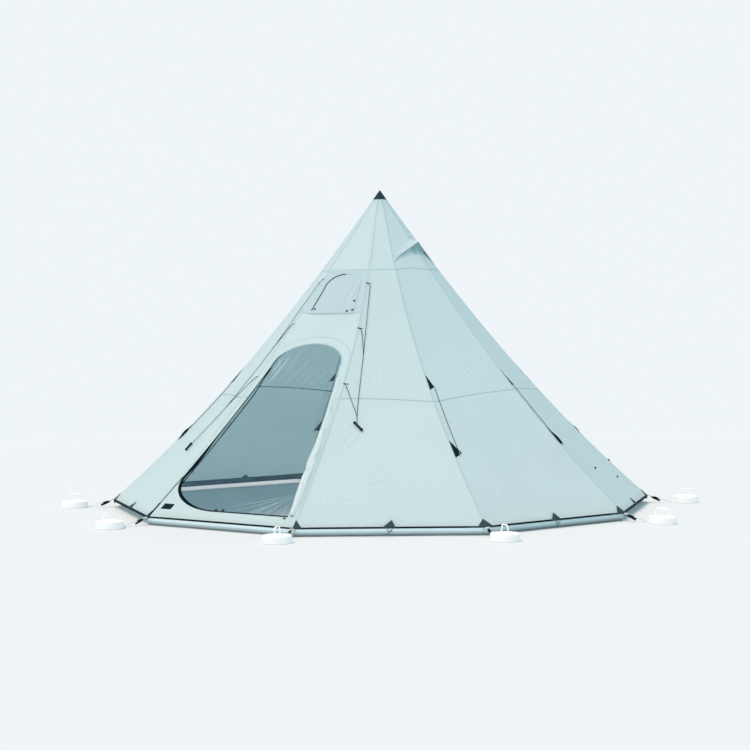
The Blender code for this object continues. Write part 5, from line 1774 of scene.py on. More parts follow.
# A gusset closes each front corner behind its strap.
GUSSET_WIDTH = 0.026
GUSSET_BACK = 0.0036
gussets = Batch()
for ridge in (min(SKIRTS), *(panel + 1 for panel in SKIRTS)):
    corner = ridge_point(ridge, HEM_HEIGHT, -SKIRT_INSET - GUSSET_BACK)
    sides = []
    for neighbour in (ridge - 1, ridge + 1):
        away = ridge_point(neighbour, HEM_HEIGHT, -SKIRT_INSET) - ridge_point(ridge, HEM_HEIGHT, -SKIRT_INSET)
        sides.append(corner + unit(away) * GUSSET_WIDTH)
    bend = [sides[0], (sides[0] + corner) / 2, corner, (sides[1] + corner) / 2, sides[1]]
    rows = []
    for v in np.linspace(0, 1, 7):
        inward = -unit(corner * [1, 1, 0]) * SKIRT_TUCK * v**3
        fall = UP * (SKIRT_TOP + (SKIRT_FOOT - SKIRT_TOP) * v - HEM_HEIGHT)
        rows.append([point + inward + fall for point in bend])
    gussets.sweep(rows, open_ring=True)
gusset_piece = gussets.show("corner_gussets", "canopy_cloth")

# %% [markdown]
# ## Weights and their straps
#
# Ten painted iron weights hold the corners instead of pegs. Each is a turned disc with a rounded
# edge, a shallow dish on top, a bent bail to lift it by and a lug for the strap. One mesh serves all
# ten, because turning it about the pole puts it on the next ridge.

# %% Ballast weights
WEIGHT_RING = 2.630
WEIGHT_RADIUS = 0.108
WEIGHT_HEIGHT = 0.058
HANDLE_ROD = 0.0055
HANDLE_FOOT = 0.064
HANDLE_TOP = 0.044
HANDLE_RISE = 0.064
HANDLE_BEND = 0.014
LUG_LENGTH = 0.022
LUG_WIDTH = 0.030
LUG_HEIGHT = 0.018
WEIGHT_SEGMENTS = 56


def arc_profile(centre, radius, first, last, count=6):
    """Profile points (radius, height) on an arc, with angles in degrees."""
    return [
        (centre[0] + radius * math.cos(math.radians(a)), centre[1] + radius * math.sin(math.radians(a)))
        for a in np.linspace(first, last, count)
    ]


weight = Batch()
r, h = WEIGHT_RADIUS, WEIGHT_HEIGHT
profile = [(0.002, 0.0003), (r - 0.012, 0.0003)]
profile += arc_profile((r - 0.006, 0.0063), 0.006, -90, 0)
profile += [(r, 0.030), (r - 0.0006, h - 0.012)]
profile += arc_profile((r - 0.0096, h - 0.009), 0.009, 5, 90, 8)
profile += [(r - 0.020, h), (r - 0.0215, h - 0.0004)]
profile += [(r - 0.0245, h - 0.0024), (r - 0.028, h - 0.0028), (0.030, h - 0.0028), (0.002, h - 0.0028)]
turn = np.linspace(0, 2 * math.pi, WEIGHT_SEGMENTS, endpoint=False)
rings = []
for reach, z in profile:
    rings.append(np.stack([reach * np.cos(turn), reach * np.sin(turn), np.full(WEIGHT_SEGMENTS, z)], axis=1))
weight.sweep(rings)
top = h + HANDLE_RISE - HANDLE_ROD
side = [(0.0, -HANDLE_FOOT, h - 0.004), (0.0, -HANDLE_FOOT + 0.004, h + 0.012)]
side += [(0.0, -HANDLE_TOP - 0.006, top - HANDLE_BEND), (0.0, -HANDLE_TOP + 0.003, top - HANDLE_BEND * 0.28)]
side += [(0.0, -HANDLE_TOP + HANDLE_BEND, top)]
route = side + [(x, -y, z) for x, y, z in reversed(side)]
weight.rod(smooth_path(route, 60), HANDLE_ROD, sides=12)
for end in (-HANDLE_FOOT, HANDLE_FOOT):
    boss = np.linspace(h - 0.004, h + 0.006, 5)
    weight.rod([(0.0, end, z) for z in boss], [0.0105, 0.0105, 0.0098, 0.0084, 0.0066], sides=14)


def rounded_bar(batch, start, end, along_width, along_up, width, height, round_by=0.002, steps=2):
    """A bar with a rounded section between two points."""
    section = []
    for first, side_x, side_y in ((0, 1, 1), (90, -1, 1), (180, -1, -1), (270, 1, -1)):
        corner = (side_x * (width / 2 - round_by), side_y * (height / 2 - round_by))
        section += arc_profile(corner, round_by, first, first + 90, steps + 1)
    start, end = np.asarray(start), np.asarray(end)
    rings = []
    for share, shrink in ((0.0, 0.86), (0.02, 1.0), (0.98, 1.0), (1.0, 0.86)):
        centre = start + (end - start) * share
        rings.append([centre + along_width * x * shrink + along_up * y * shrink for x, y in section])
    batch.sweep(rings)


ACROSS = np.array([1.0, 0.0, 0.0])
ALONG = np.array([0.0, 1.0, 0.0])
lug_start, lug_end = r - 0.006, r + LUG_LENGTH
for place in (-LUG_WIDTH / 2 + 0.003, LUG_WIDTH / 2 - 0.003):
    cheek = [(place, y, LUG_HEIGHT / 2 + 0.0003) for y in (lug_start, lug_end)]
    rounded_bar(weight, *cheek, ACROSS, UP, 0.006, LUG_HEIGHT - 0.002)
crossbar = [(x, lug_end - 0.0035, LUG_HEIGHT / 2) for x in (-LUG_WIDTH / 2, LUG_WIDTH / 2)]
rounded_bar(weight, *crossbar, ALONG, UP, 0.007, 0.010)
weight_shape = weight.mesh("ballast_weight")

# %% Straps with a ladder-lock buckle
STRAP_WIDTH = 0.020
STRAP_TOP = 0.067
STRAP_THICKNESS = 0.0020
BUCKLE_START = 0.014
BUCKLE_LENGTH = 0.034
BUCKLE_WIDTH = 0.030
TAIL_END = 0.120
TAIL_TWISTS = (40.0, -60.0)
# A band's section, as shares of its width and thickness. Its upper face is slightly crowned.
BAND_SECTION = [
    (-0.5, -0.5), (-0.5, 0.5), (-0.46, 0.62), (0.0, 0.66),
    (0.46, 0.62), (0.5, 0.5), (0.5, -0.5), (0.0, -0.5),
]
strap_start = np.array([0.0, -(canopy_radius(STRAP_TOP - 0.001) + 0.0032), STRAP_TOP])
strap_end = np.array([0.0, -(WEIGHT_RING - WEIGHT_RADIUS - LUG_LENGTH - 0.0006), LUG_HEIGHT / 2])
strap_run = strap_end - strap_start
strap_length = float(np.linalg.norm(strap_run))
strap_run = strap_run / strap_length
strap_up = unit(np.cross(ACROSS, strap_run))


def strap_band(batch, places, width, thick, twist=0.0):
    """A flat band through (distance, lift) places along the strap's line."""
    rings = []
    path = np.array([strap_start + strap_run * d + strap_up * lift for d, lift in places])
    path = smooth_path(path, 6 * len(path))
    ahead = unit(np.gradient(path, axis=0))
    turns = math.radians(twist) * ease(np.linspace(0, 2.5, len(path)))
    for point, direction, turn in zip(path, ahead, turns):
        level = unit(np.cross(ACROSS, direction))
        side = ACROSS * math.cos(turn) + level * math.sin(turn)
        out = level * math.cos(turn) - ACROSS * math.sin(turn)
        rings.append([point + side * width * x + out * thick * y for x, y in BAND_SECTION])
    batch.sweep(rings, around=[0.0, 0.0, 0.001, width / 2, 0.001, 0.0, 0.0, width / 2])


stub = Batch()
strap_band(stub, [(0.0, 0.0), (0.008, 0.0008), (BUCKLE_START + 0.004, 0.0)], STRAP_WIDTH, STRAP_THICKNESS)
buckle_end = BUCKLE_START + BUCKLE_LENGTH
lower_tail = [(buckle_end - 0.010, 0.0012), (buckle_end + 0.020, 0.0016), (TAIL_END - 0.020, 0.0012)]
strap_band(stub, lower_tail, STRAP_WIDTH * 0.8, STRAP_THICKNESS, twist=TAIL_TWISTS[0])
upper_tail = [(BUCKLE_START + 0.012, 0.0040), (buckle_end, 0.0072)]
upper_tail += [(buckle_end + 0.030, 0.0120), (TAIL_END, 0.0170)]
strap_band(stub, upper_tail, STRAP_WIDTH, 0.0015, twist=TAIL_TWISTS[1])
stub_shape = stub.mesh("strap_stub")
lock = Batch()
centre = strap_start + strap_run * (BUCKLE_START + BUCKLE_LENGTH / 2)
half_run = strap_run * BUCKLE_LENGTH / 2
for side in (-1, 1):
    edge = centre + ACROSS * side * (BUCKLE_WIDTH / 2 - 0.002)
    rounded_bar(lock, edge - half_run, edge + half_run, ACROSS, strap_up, 0.004, 0.0058, 0.0012)
for share in (-0.5, -0.12, 0.5):
    bar = centre + strap_run * BUCKLE_LENGTH * share * 0.86
    rounded_bar(lock, bar - ACROSS * BUCKLE_WIDTH / 2 * 0.92, bar + ACROSS * BUCKLE_WIDTH / 2 * 0.92,
                strap_run, strap_up, 0.0042, 0.0046, 0.0012)
lock_shape = lock.mesh("ladder_lock")
pale = Batch()
strap_band(pale, [(TAIL_END - 0.028, 0.0), (strap_length * 0.75, -0.0008), (strap_length - 0.0005, 0.0)],
           STRAP_WIDTH * 0.55, STRAP_THICKNESS)
pale_shape = pale.mesh("strap_tail")

strap_pieces, lock_pieces, pale_pieces, weight_pieces = [], [], [], []
for ridge in range(1, SIDES + 1):
    angle = azimuth(ridge)
    node = f"ballast_weight_{ridge:02d}"
    item = show(f"painted_weight_{ridge:02d}", weight_shape, "root", "painted_iron", [node])
    item.matrix_world = Matrix.Translation(outward(angle) * WEIGHT_RING) @ Matrix.Rotation(angle, 4, "Z")
    weight_pieces.append(item)
    for name, shape, slot, group, nodes in (
        ("strap_stub", stub_shape, "slate_webbing", strap_pieces, [f"corner_strap_{ridge:02d}"]),
        ("ladder_lock", lock_shape, "painted_iron", lock_pieces, []),
        ("strap_tail", pale_shape, "slate_webbing", pale_pieces, []),
    ):
        item = show(f"{name}_{ridge:02d}", shape, "root", slot, nodes)
        item.matrix_world = Matrix.Rotation(angle, 4, "Z")
        group.append(item)
print("weights:", len(weight_pieces), "strap length:", round(strap_length, 3))

# %% [markdown]
# ## Sliders, toggles and the label
#
# The smallest parts are what a hand looks for. Each zip slider has a body with a bridge and a pull on
# a short cord. Barrel toggles sit under the door's sill, and a bare label is sewn beside the door.

# %% Zip sliders
SLIDER_LENGTH = 0.024
SLIDER_WIDTH = 0.011
DOOR_SLIDER_DROP = 0.013
DOOR_SLIDER_INSET = 0.016
MESH_SLIDER_START = 0.410
MESH_SLIDER_END = 0.950
SLIDER_SECTION = [(-1, -0.6), (-1, 0.6), (-0.7, 1), (0.7, 1), (1, 0.6), (1, -0.6), (0.7, -1), (-0.7, -1)]
# The two cords of a pull, as places (down, across) from the slider's bridge.
SLIDER_PULL = [
    [(0.0, 0.0), (0.006, 0.0022), (0.020, 0.0026), (0.034, 0.0012)],
    [(0.0, 0.0), (0.007, -0.0022), (0.021, -0.0026), (0.034, 0.0006)],
]


def slider(name, place, travel, normal, body, node):
    """A slider with its bridge, and a pull that hangs from it."""
    batch = Batch()
    across = np.cross(normal, travel)
    base = place + normal * 0.0026
    widths = [(-0.5, 0.62), (-0.42, 0.86), (-0.1, 1.0), (0.2, 0.82), (0.42, 0.70), (0.5, 0.52)]
    rings = []
    for share, wide in widths:
        centre = base + travel * SLIDER_LENGTH * share
        half_width, half_height = SLIDER_WIDTH / 2 * wide, 0.0017
        rings.append([centre + across * half_width * x + normal * half_height * y for x, y in SLIDER_SECTION])
    batch.sweep(rings)
    arch = []
    for s in np.linspace(-0.32, 0.28, 9):
        rise = 0.0012 + 0.0026 * math.sin(math.pi * (s + 0.32) / 0.6)
        arch.append(base + travel * SLIDER_LENGTH * s + normal * rise)
    batch.rod(arch, 0.0010, sides=6)
    down = -UP + normal * 0.05
    start = base + normal * 0.0030
    for pull in SLIDER_PULL:
        batch.rod(smooth_path([start + down * d + across * w for d, w in pull], 14), 0.0011, sides=6)
    batch.ball(start + down * 0.036, 0.0026)
    return batch.show(name, "black_plastic", body, [node])


height = DOOR_SILL - DOOR_SLIDER_DROP
place = flat_point(DOOR_PANEL, height, doorway()[0, 2] - DOOR_SLIDER_INSET)
_, travel, normal, _ = panel_axes(DOOR_PANEL, height)
outer_slider = slider("outer_door_slider", place, travel, normal, "door_zip", "door_zip_slider")
start = flat_point(DOOR_PANEL, MESH_SLIDER_START, DOOR_LEFT_MARGIN_LOW + MESH_SLIDER_INSET)
end = flat_point(DOOR_PANEL, MESH_SLIDER_END, DOOR_LEFT_MARGIN_HIGH + MESH_SLIDER_INSET)
normal = panel_axes(DOOR_PANEL, MESH_SLIDER_START)[2]
net_slider = slider("netting_slider", start, unit(end - start), normal, "mesh_zip", "mesh_zip_slider")

# %% Toggles under the sill, beads on the lines and the label
small = Batch()
for offset, height in SILL_TOGGLES:
    small_toggle(small, DOOR_PANEL, offset, height - 0.006, 0.0070, 0.1)
    loop = []
    for a in np.linspace(0.2, math.pi - 0.2, 9):
        loop.append((offset + 0.011 * math.cos(a), height - 0.004 + 0.009 * math.sin(a)))
    small.rod([flat_point(DOOR_PANEL, z, x, 0.0030) for x, z in loop], 0.0013, sides=6)
for ridge, places in bridle_places.items():
    for point in places["anchors"]:
        small.ball(point + unit(point * [1, 1, 0]) * 0.001, 0.0042)
for offset, height in ((0.451, 0.364), (0.948, 0.253), (float(panel_width(5, 0.369)) - 0.004, 0.369)):
    small_toggle(small, 5, offset, height, 0.006, 1.2)
fitting_piece = small.show("dark_fittings", "black_plastic")

CORD_CURL = [
    (0.0, 0.0), (0.014, -0.010), (0.026, 0.002), (0.020, 0.016),
    (0.006, 0.010), (-0.006, -0.006), (-0.002, -0.024),
]
pale_beads = Batch()
for ridge in GUY_RIDGES:
    corner = TAB_PLACES.get(ridge, TAB)[2]
    foot_corner = POCKET_PLACES.get(ridge, POCKET)[2]
    pale_beads.ball(cloth_point(ridge, corner[1] + 0.004, corner[0] - 0.002, 0.0062), 0.0044)
    x, z = np.array([(foot_corner[0] - 0.022 + dx, foot_corner[1] + dz) for dx, dz in CORD_CURL]).T
    lift = 0.0040 + 0.0022 * np.arange(len(x)) / len(x)
    pale_beads.rod(smooth_path(cloth_point(ridge, z, x, lift), 30), 0.0013, sides=6)
pale_piece = pale_beads.show("cord_ends", "guy_cord")

LABEL = [(0.052, 0.128), (0.152, 0.128), (0.152, 0.166), (0.052, 0.166)]
label = Batch()
patch(label, DOOR_PANEL, LABEL, 0.0, 0.0012, rows=4, columns=6)
label_piece = label.show("blank_label", "slate_webbing")
print("small fittings:", len(small.faces) + len(pale_beads.faces), "faces")

# %% [markdown]
# ## Writing materials as sums
#
# A finish is a small formula: how dark, how rough and how raised the surface is at each place.
# Blender builds such formulas from nodes, which are tedious to wire by hand. The class below wraps a
# socket and overloads the arithmetic operators, so that a formula in Python adds its own Math nodes.

# %% A socket that does arithmetic, and a finish that adds nodes
class Wire:
    """A socket of a material, on which Python's operators add Math nodes."""

    def __init__(self, finish, socket):
        self.finish = finish
        self.socket = socket

    def maths(self, operation, *values):
        return self.finish.node("Math", {"operation": operation}, dict(enumerate(values)))

    def __add__(self, other):
        return self.maths("ADD", self, other)

    __radd__ = __add__

    def __sub__(self, other):
        return self.maths("SUBTRACT", self, other)

    def __rsub__(self, other):
        return self.maths("SUBTRACT", other, self)

    def __mul__(self, other):
        return self.maths("MULTIPLY", self, other)

    __rmul__ = __mul__

    def __truediv__(self, other):
        return self.maths("DIVIDE", self, other)

    def __pow__(self, other):
        return self.maths("POWER", self, other)

    def sine(self):
        return self.maths("SINE", self)

    def waves(self, pitch):
        """A wave from -1 to 1 that repeats at this pitch."""
        return (self * (2 * math.pi / pitch)).sine()

    def size(self):
        return self.maths("ABSOLUTE", self)

    def part(self):
        return self.maths("FRACT", self)

    def above(self, limit):
        return self.maths("GREATER_THAN", self, limit)

    def below(self, limit):
        return self.maths("LESS_THAN", self, limit)

    def between(self, low, high):
        """0 below one value, 1 above the other, and a smooth step from one to the other."""
        return self.finish.node("MapRange", {"interpolation_type": "SMOOTHSTEP"}, {0: self, 1: low, 2: high})


class Finish:
    """A material built from expressions. It starts as one Principled shader."""

    def __init__(self, name, roughness=0.8, metallic=0.0, **fixed):
        self.material = bpy.data.materials.new(name)
        self.material.use_nodes = True
        self.nodes = self.material.node_tree.nodes
        self.links = self.material.node_tree.links
        self.shader = self.nodes["Principled BSDF"]
        self.set(Roughness=roughness, Metallic=metallic)
        for socket, value in fixed.items():
            self.shader.inputs[socket.replace("_", " ")].default_value = value

    def feed(self, socket, value):
        if isinstance(value, Wire):
            self.links.new(value.socket, socket)
        else:
            socket.default_value = value

    def node(self, kind, settings=None, inputs=None, output=0):
        """Add any node, with its settings first and then its inputs."""
        node = self.nodes.new("ShaderNode" + kind)
        for key, value in (settings or {}).items():
            setattr(node, key, value)
        for key, value in (inputs or {}).items():
            self.feed(node.inputs[key], value)
        return Wire(self, node.outputs[output])

    def metres(self):
        """The two UV axes: metres along a piece, and metres from its edge."""
        uv = self.node("UVMap", {"uv_map": "cloth_metres"})
        return [self.node("SeparateXYZ", None, {0: uv}, output) for output in (0, 1)]

    def place(self):
        return self.node("TexCoord", None, None, "Object")

    def height(self):
        """How high a place stands above the floor, in metres."""
        return self.node("SeparateXYZ", None, {0: self.place()}, 2)

    def marked(self, name):
        """The number that a mesh keeps at its points under this name."""
        return self.node("Attribute", {"attribute_name": name}, None, "Fac")

    def noise(self, scale, detail=3.0, vector=None, roughness=0.5):
        vector = vector or self.place()
        inputs = {"Vector": vector, "Scale": scale, "Detail": detail, "Roughness": roughness}
        return self.node("TexNoise", None, inputs, "Fac")

    def blend(self, share, first, second):
        """A colour between two colours."""
        first = first if isinstance(first, Wire) else (*first, 1.0)
        second = second if isinstance(second, Wire) else (*second, 1.0)
        return self.node("Mix", {"data_type": "RGBA"}, {0: share, 6: first, 7: second}, 2)

    def bump(self, height, distance=0.001, strength=1.0):
        """A bump from a height between 0 and 1, where 1 stands a distance proud."""
        return self.node("Bump", None, {"Height": height, "Distance": distance, "Strength": strength})

    def set(self, **sockets):
        for socket, value in sockets.items():
            if isinstance(value, tuple) and len(value) == 3:
                value = (*value, 1.0)
            self.feed(self.shader.inputs[socket.replace("_", " ")], value)
        return self

# %% [markdown]
# ## Tent cloth
#
# The tent is made of thin cotton and polyester cloth. It is matt, its weave is only felt close up, and
# daylight comes through it, so the inside glows in a deeper shade than the outside. A Principled
# shader gives the lit side, and a Mix Shader lets a share of a Translucent one through. The yarn's
# slubs vary the colour a little. Stitches are dashes in the UV map, a fixed distance from an edge.

# %% Tent cloth
CLOTH_COLOUR = (0.740, 0.860, 0.880)
CLOTH_GLOW = (0.780, 0.930, 0.950)
GLOW_SHARE = 0.46
WEAVE_PITCH = 0.0016
STITCH_INSET = 0.0022
STITCH_PITCH = 0.0042


def shaded(colour, share):
    """A colour made darker or lighter by a share."""
    return tuple(min(channel * share, 1.0) for channel in colour)


def add_glow(finish, colour, share):
    """Let a share of the light that falls on the other side through."""
    through = finish.node("BsdfTranslucent", None, {"Color": (*colour, 1.0)})
    lit = Wire(finish, finish.shader.outputs[0])
    mixed = finish.node("MixShader", None, {0: share, 1: lit, 2: through})
    finish.links.new(mixed.socket, finish.nodes["Material Output"].inputs[0])


def stitch_rows(along, across, inset=STITCH_INSET, pitch=STITCH_PITCH):
    """1 on the dashes of a row of stitches beside an edge, and 0 elsewhere."""
    return (across - inset).size().below(0.00045) * (along / pitch).part().below(0.64)


def tent_cloth(name, colour=CLOTH_COLOUR, stitched=False, glow=GLOW_SHARE, foot=None):
    finish = Finish(name, roughness=0.82, Sheen_Weight=0.08, Sheen_Roughness=0.6)
    along, across = finish.metres()
    warp = along.waves(WEAVE_PITCH)
    weft = across.waves(WEAVE_PITCH)
    cloud = finish.noise(2.2, 3.0)
    slub = finish.noise(42.0, 3.0)
    fine = finish.noise(420.0, 2.0)
    shade = cloud * 0.45 + slub * 0.35 + fine * 0.20
    tint = finish.blend(shade.between(0.32, 0.68), shaded(colour, 0.965), shaded(colour, 1.025))
    height = warp * weft * 0.30 + fine * 0.6 + slub * 0.5
    if stitched:
        stitch = stitch_rows(along, across)
        tint = finish.blend(stitch, tint, shaded(colour, 0.72))
        height = height + stitch * 0.9
    # Painted highlights on the folds' crests and painted shade beside them, scaled by each fold's depth.
    painted_fold_light = 1.0
    wander = (finish.noise(5.0, 2.0) - 0.5) * 9.0
    patchy = finish.noise(3.5, 2.0).between(0.36, 0.58)
    for kind in FOLD_KINDS:
        depth = finish.marked(f"{kind}_depth") * patchy
        phase = finish.marked(f"{kind}_phase") + wander
        painted_crest_highlight = ((phase + math.pi / 2).sine() * 0.5 + 0.5) ** 3.0
        painted_fold_shade = ((phase + math.pi / 2 - 1.5).sine() * 0.5 + 0.5) ** 2.0
        painted_fold_light = painted_fold_light + depth * (painted_crest_highlight * 0.12 - painted_fold_shade * 0.10)
    tint = finish.node("VectorMath", {"operation": "SCALE"}, {0: tint, "Scale": painted_fold_light})
    if foot:
        # Painted shade: the cloth is darker towards the ground, where its foot curls in under the hem.
        painted_foot_shade = finish.height().between(foot[1] - 0.004, foot[0] * 0.75)
        tint = finish.blend(painted_foot_shade, shaded(colour, 0.16), tint)
    finish.set(Base_Color=tint, Roughness=shade * 0.10 + 0.77, Normal=finish.bump(height, 0.00018, 0.5))
    if glow:
        add_glow(finish, CLOTH_GLOW, glow)
    return finish


cloth = tent_cloth("tent_cloth")
seam_cloth = tent_cloth("seam_cloth", (0.520, 0.700, 0.745), stitched=True, glow=0.25)
level_cloth = tent_cloth("level_seam_cloth", (0.420, 0.585, 0.630), stitched=True, glow=0.25)
# The flap with the window's doubled surround, and the hood, take darker copies of the canopy's cloth: painted shade.
thin_cloth = tent_cloth("flap_cloth", (0.520, 0.690, 0.740), glow=0.20)
hood_cloth = tent_cloth("hood_cloth", (0.570, 0.735, 0.775), glow=0.20)
roll_cloth = tent_cloth("roll_cloth", (0.690, 0.830, 0.850), glow=0.20)
# The skirts are the canopy's cloth: the front two and the gussets take a lighter copy (painted light), the right one a
# darker copy (painted shade).
skirt_cloth = tent_cloth("skirt_cloth", (0.740, 0.930, 0.970), glow=0.14, foot=(SKIRT_TOP, SKIRT_FOOT))
skirt_shaded_copy = tent_cloth("skirt_dull_cloth", (0.540, 0.720, 0.750), glow=0.08, foot=(SKIRT_TOP, SKIRT_FOOT))
print("cloth finishes:", 8)

# %% [markdown]
# ## Netting
#
# Insect netting is mostly air. At a distance it is a dark veil, and close up it is a grid of threads.
# The threads come from the UV map as two sets of fine lines that make the Alpha a little higher where
# they run. The colour stays dark, so that what stands behind keeps its contrast, but the gathered folds
# get a pale painted highlight.

# %% Netting
NETTING_COLOUR = (0.042, 0.128, 0.190)
CREASE_HIGHLIGHT_COLOUR = (0.450, 0.630, 0.700)
NETTING_PITCH = 0.0024
NETTING_COVER = 0.28
CREASE_COVER = 0.28


def netting_finish(name, colour=NETTING_COLOUR, cover=NETTING_COVER):
    finish = Finish(name, roughness=0.70)
    along, across = finish.metres()
    thread = along.waves(NETTING_PITCH) * 0.5 + across.waves(NETTING_PITCH) * 0.5
    cloud = finish.noise(3.0, 2.0)
    slack = finish.noise(14.0, 2.0)
    gathered = finish.marked("gathered")
    rise = finish.height()
    cover_here = thread * 0.10 + cloud * 0.10 + gathered * CREASE_COVER + (cover - 0.05)
    cover_here = cover_here + (1 - rise.between(0.12, 0.62)) * 0.25
    tint = finish.blend(slack.between(0.3, 0.7), shaded(colour, 0.88), shaded(colour, 1.12))
    # Painted highlight: the gathered folds are paler, where they catch the light.
    tint = finish.blend(gathered, tint, CREASE_HIGHLIGHT_COLOUR)
    return finish.set(Base_Color=tint, Alpha=cover_here, Normal=finish.bump(thread, 0.0002, 0.4))


netting_dark = netting_finish("insect_netting")
netting_facing_cloth = netting_finish("netting_facing", (0.150, 0.280, 0.320), 0.62)
vent_mesh = netting_finish("vent_netting", (0.330, 0.520, 0.570), 0.60)
print("netting covers about", NETTING_COVER)

# %% [markdown]
# ## Webbing, patches and the cap
#
# Webbing is woven in ribs, so its surface has a herringbone that catches the light, and its edges
# wear lighter. The corner patches and pockets are cut from a coated cloth that is a shade lighter.

# %% Webbing and coated patches
WEBBING_COLOUR = (0.005, 0.017, 0.021)
PATCH_COLOUR = (0.040, 0.076, 0.091)
CAP_COLOUR = (0.022, 0.045, 0.062)
RIB_PITCH = 0.0019


def webbing_finish(name, colour, rib=RIB_PITCH, depth=0.0003, pale=1.9):
    finish = Finish(name, roughness=0.78, Specular_IOR_Level=0.06)
    along, across = finish.metres()
    lean = across.waves(rib * 3.2) * 0.45
    herringbone = ((along / rib + lean) * (2 * math.pi)).sine() * 0.5 + 0.5
    fuzz = finish.noise(700.0, 2.0)
    dirt = finish.noise(16.0, 4.0)
    edge = 1 - across.between(0.0, 0.0014)
    stitch = stitch_rows(along, across, 0.0030)
    light = (herringbone * 0.30 + fuzz * 0.25 + edge * 0.30 + dirt * 0.15).between(0.15, 0.95)
    tint = finish.blend(light, shaded(colour, 0.80), shaded(colour, pale))
    tint = finish.blend(stitch * 0.7, tint, shaded(colour, 2.6))
    height = herringbone * 0.7 + fuzz * 0.2 + stitch * 0.5
    return finish.set(Base_Color=tint, Roughness=fuzz * 0.15 + 0.70, Normal=finish.bump(height, depth, 0.6))


webbing = webbing_finish("slate_webbing", WEBBING_COLOUR)
patch_cloth = webbing_finish("coated_patch", PATCH_COLOUR, 0.0011, 0.0001, 1.4)
cap_cloth = webbing_finish("cap_cloth", CAP_COLOUR, 0.0014, 0.0001, 1.5)
pale_webbing = webbing_finish("pale_webbing", (0.560, 0.640, 0.660), RIB_PITCH, 0.0003, 1.15)
print("webbing finishes:", 4)

# %% [markdown]
# ## Cord, zips and hard parts
#
# The cords are braided: two families of threads cross on a slant, one of them paler. A zip's coil
# shows as fine rings. The fittings are moulded plastic with a soft gloss, the poles are brushed
# aluminium, and the weights are iron under thick white paint, with an orange-peel surface and small
# chips where edges knock together.

# %% Cord and zip
CORD_COLOUR = (0.003, 0.012, 0.017)
BRAID_PITCH = 0.0036


def braided(name, colour, tracer):
    finish = Finish(name, roughness=0.62, Specular_IOR_Level=0.0)
    spot = finish.place()
    run = finish.node("SeparateXYZ", None, {0: spot}, 2)
    side = finish.node("SeparateXYZ", None, {0: spot}, 0)
    first = (run * 1.2 + side).waves(BRAID_PITCH)
    second = (run * 1.2 - side).waves(BRAID_PITCH)
    cross = (first * second) * 0.5 + 0.5
    tint = finish.blend(cross.between(0.35, 0.9), colour, tracer)
    return finish.set(Base_Color=tint, Roughness=cross * 0.15 + 0.55, Normal=finish.bump(cross, 0.0003, 0.7))


guy_cord = braided("guy_cord", CORD_COLOUR, shaded(CORD_COLOUR, 3.0))
pale_cord = braided("pale_cord", (0.420, 0.500, 0.510), (0.640, 0.700, 0.710))


def moulded(name, colour, roughness=0.42, rings=0.0, gloss=0.12):
    """Moulded plastic with a fine grain, or with rings, as on a zip's coil."""
    finish = Finish(name, roughness=roughness, Specular_IOR_Level=gloss)
    along, _ = finish.metres()
    grain = finish.noise(900.0, 2.0)
    scuff = finish.noise(60.0, 4.0)
    tint = finish.blend(scuff.between(0.35, 0.75), shaded(colour, 0.85), shaded(colour, 1.5))
    height = grain * 0.4
    if rings:
        height = height + along.waves(rings)
    rough = scuff * 0.25 + (roughness - 0.12)
    return finish.set(Base_Color=tint, Roughness=rough, Normal=finish.bump(height, 0.0003, 0.5))


zip_black = moulded("zip_coil", (0.002, 0.010, 0.015), 0.60, rings=0.0022, gloss=0.0)
black_plastic = moulded("black_plastic", (0.003, 0.009, 0.011))
white_plastic = moulded("white_plastic", (0.720, 0.780, 0.790), 0.40)

# %% Aluminium and painted iron
CHIP_COLOUR = (0.380, 0.400, 0.400)
WEIGHT_PAINTED_GLOW = 0.08


def brushed_metal(name, colour):
    finish = Finish(name, roughness=0.30, metallic=1.0)
    spot = finish.place()
    long_scale = finish.node("Mapping", None, {"Vector": spot, "Scale": (180.0, 180.0, 3.0)})
    scratch = finish.noise(1.0, 4.0, long_scale)
    tint = finish.blend(scratch, shaded(colour, 0.88), colour)
    rough = scratch * 0.22 + 0.22
    return finish.set(Base_Color=tint, Roughness=rough, Normal=finish.bump(scratch, 0.0001, 0.4))


def painted_iron(name, colour):
    finish = Finish(name, roughness=0.46, Coat_Weight=0.08)
    # Painted light: a faint white glow keeps the weights' shaded sides bright, though they are no lamp.
    finish.set(Emission_Strength=WEIGHT_PAINTED_GLOW, Emission_Color=(1.0, 1.0, 1.0))
    peel = finish.noise(150.0, 2.0)
    cloud = finish.noise(14.0, 3.0)
    chips = finish.noise(110.0, 5.0, roughness=0.7).above(0.735)
    tint = finish.blend(cloud, shaded(colour, 0.965), colour)
    tint = finish.blend(chips * 0.7, tint, CHIP_COLOUR)
    height = peel * 0.5 - chips * 0.4
    rough = cloud * 0.16 + 0.38
    return finish.set(Base_Color=tint, Roughness=rough, Normal=finish.bump(height, 0.0005, 0.35))


aluminium = brushed_metal("pole_aluminium", (0.760, 0.775, 0.790))
white_iron = painted_iron("painted_iron", (0.880, 0.910, 0.925))
print("hard finishes made")

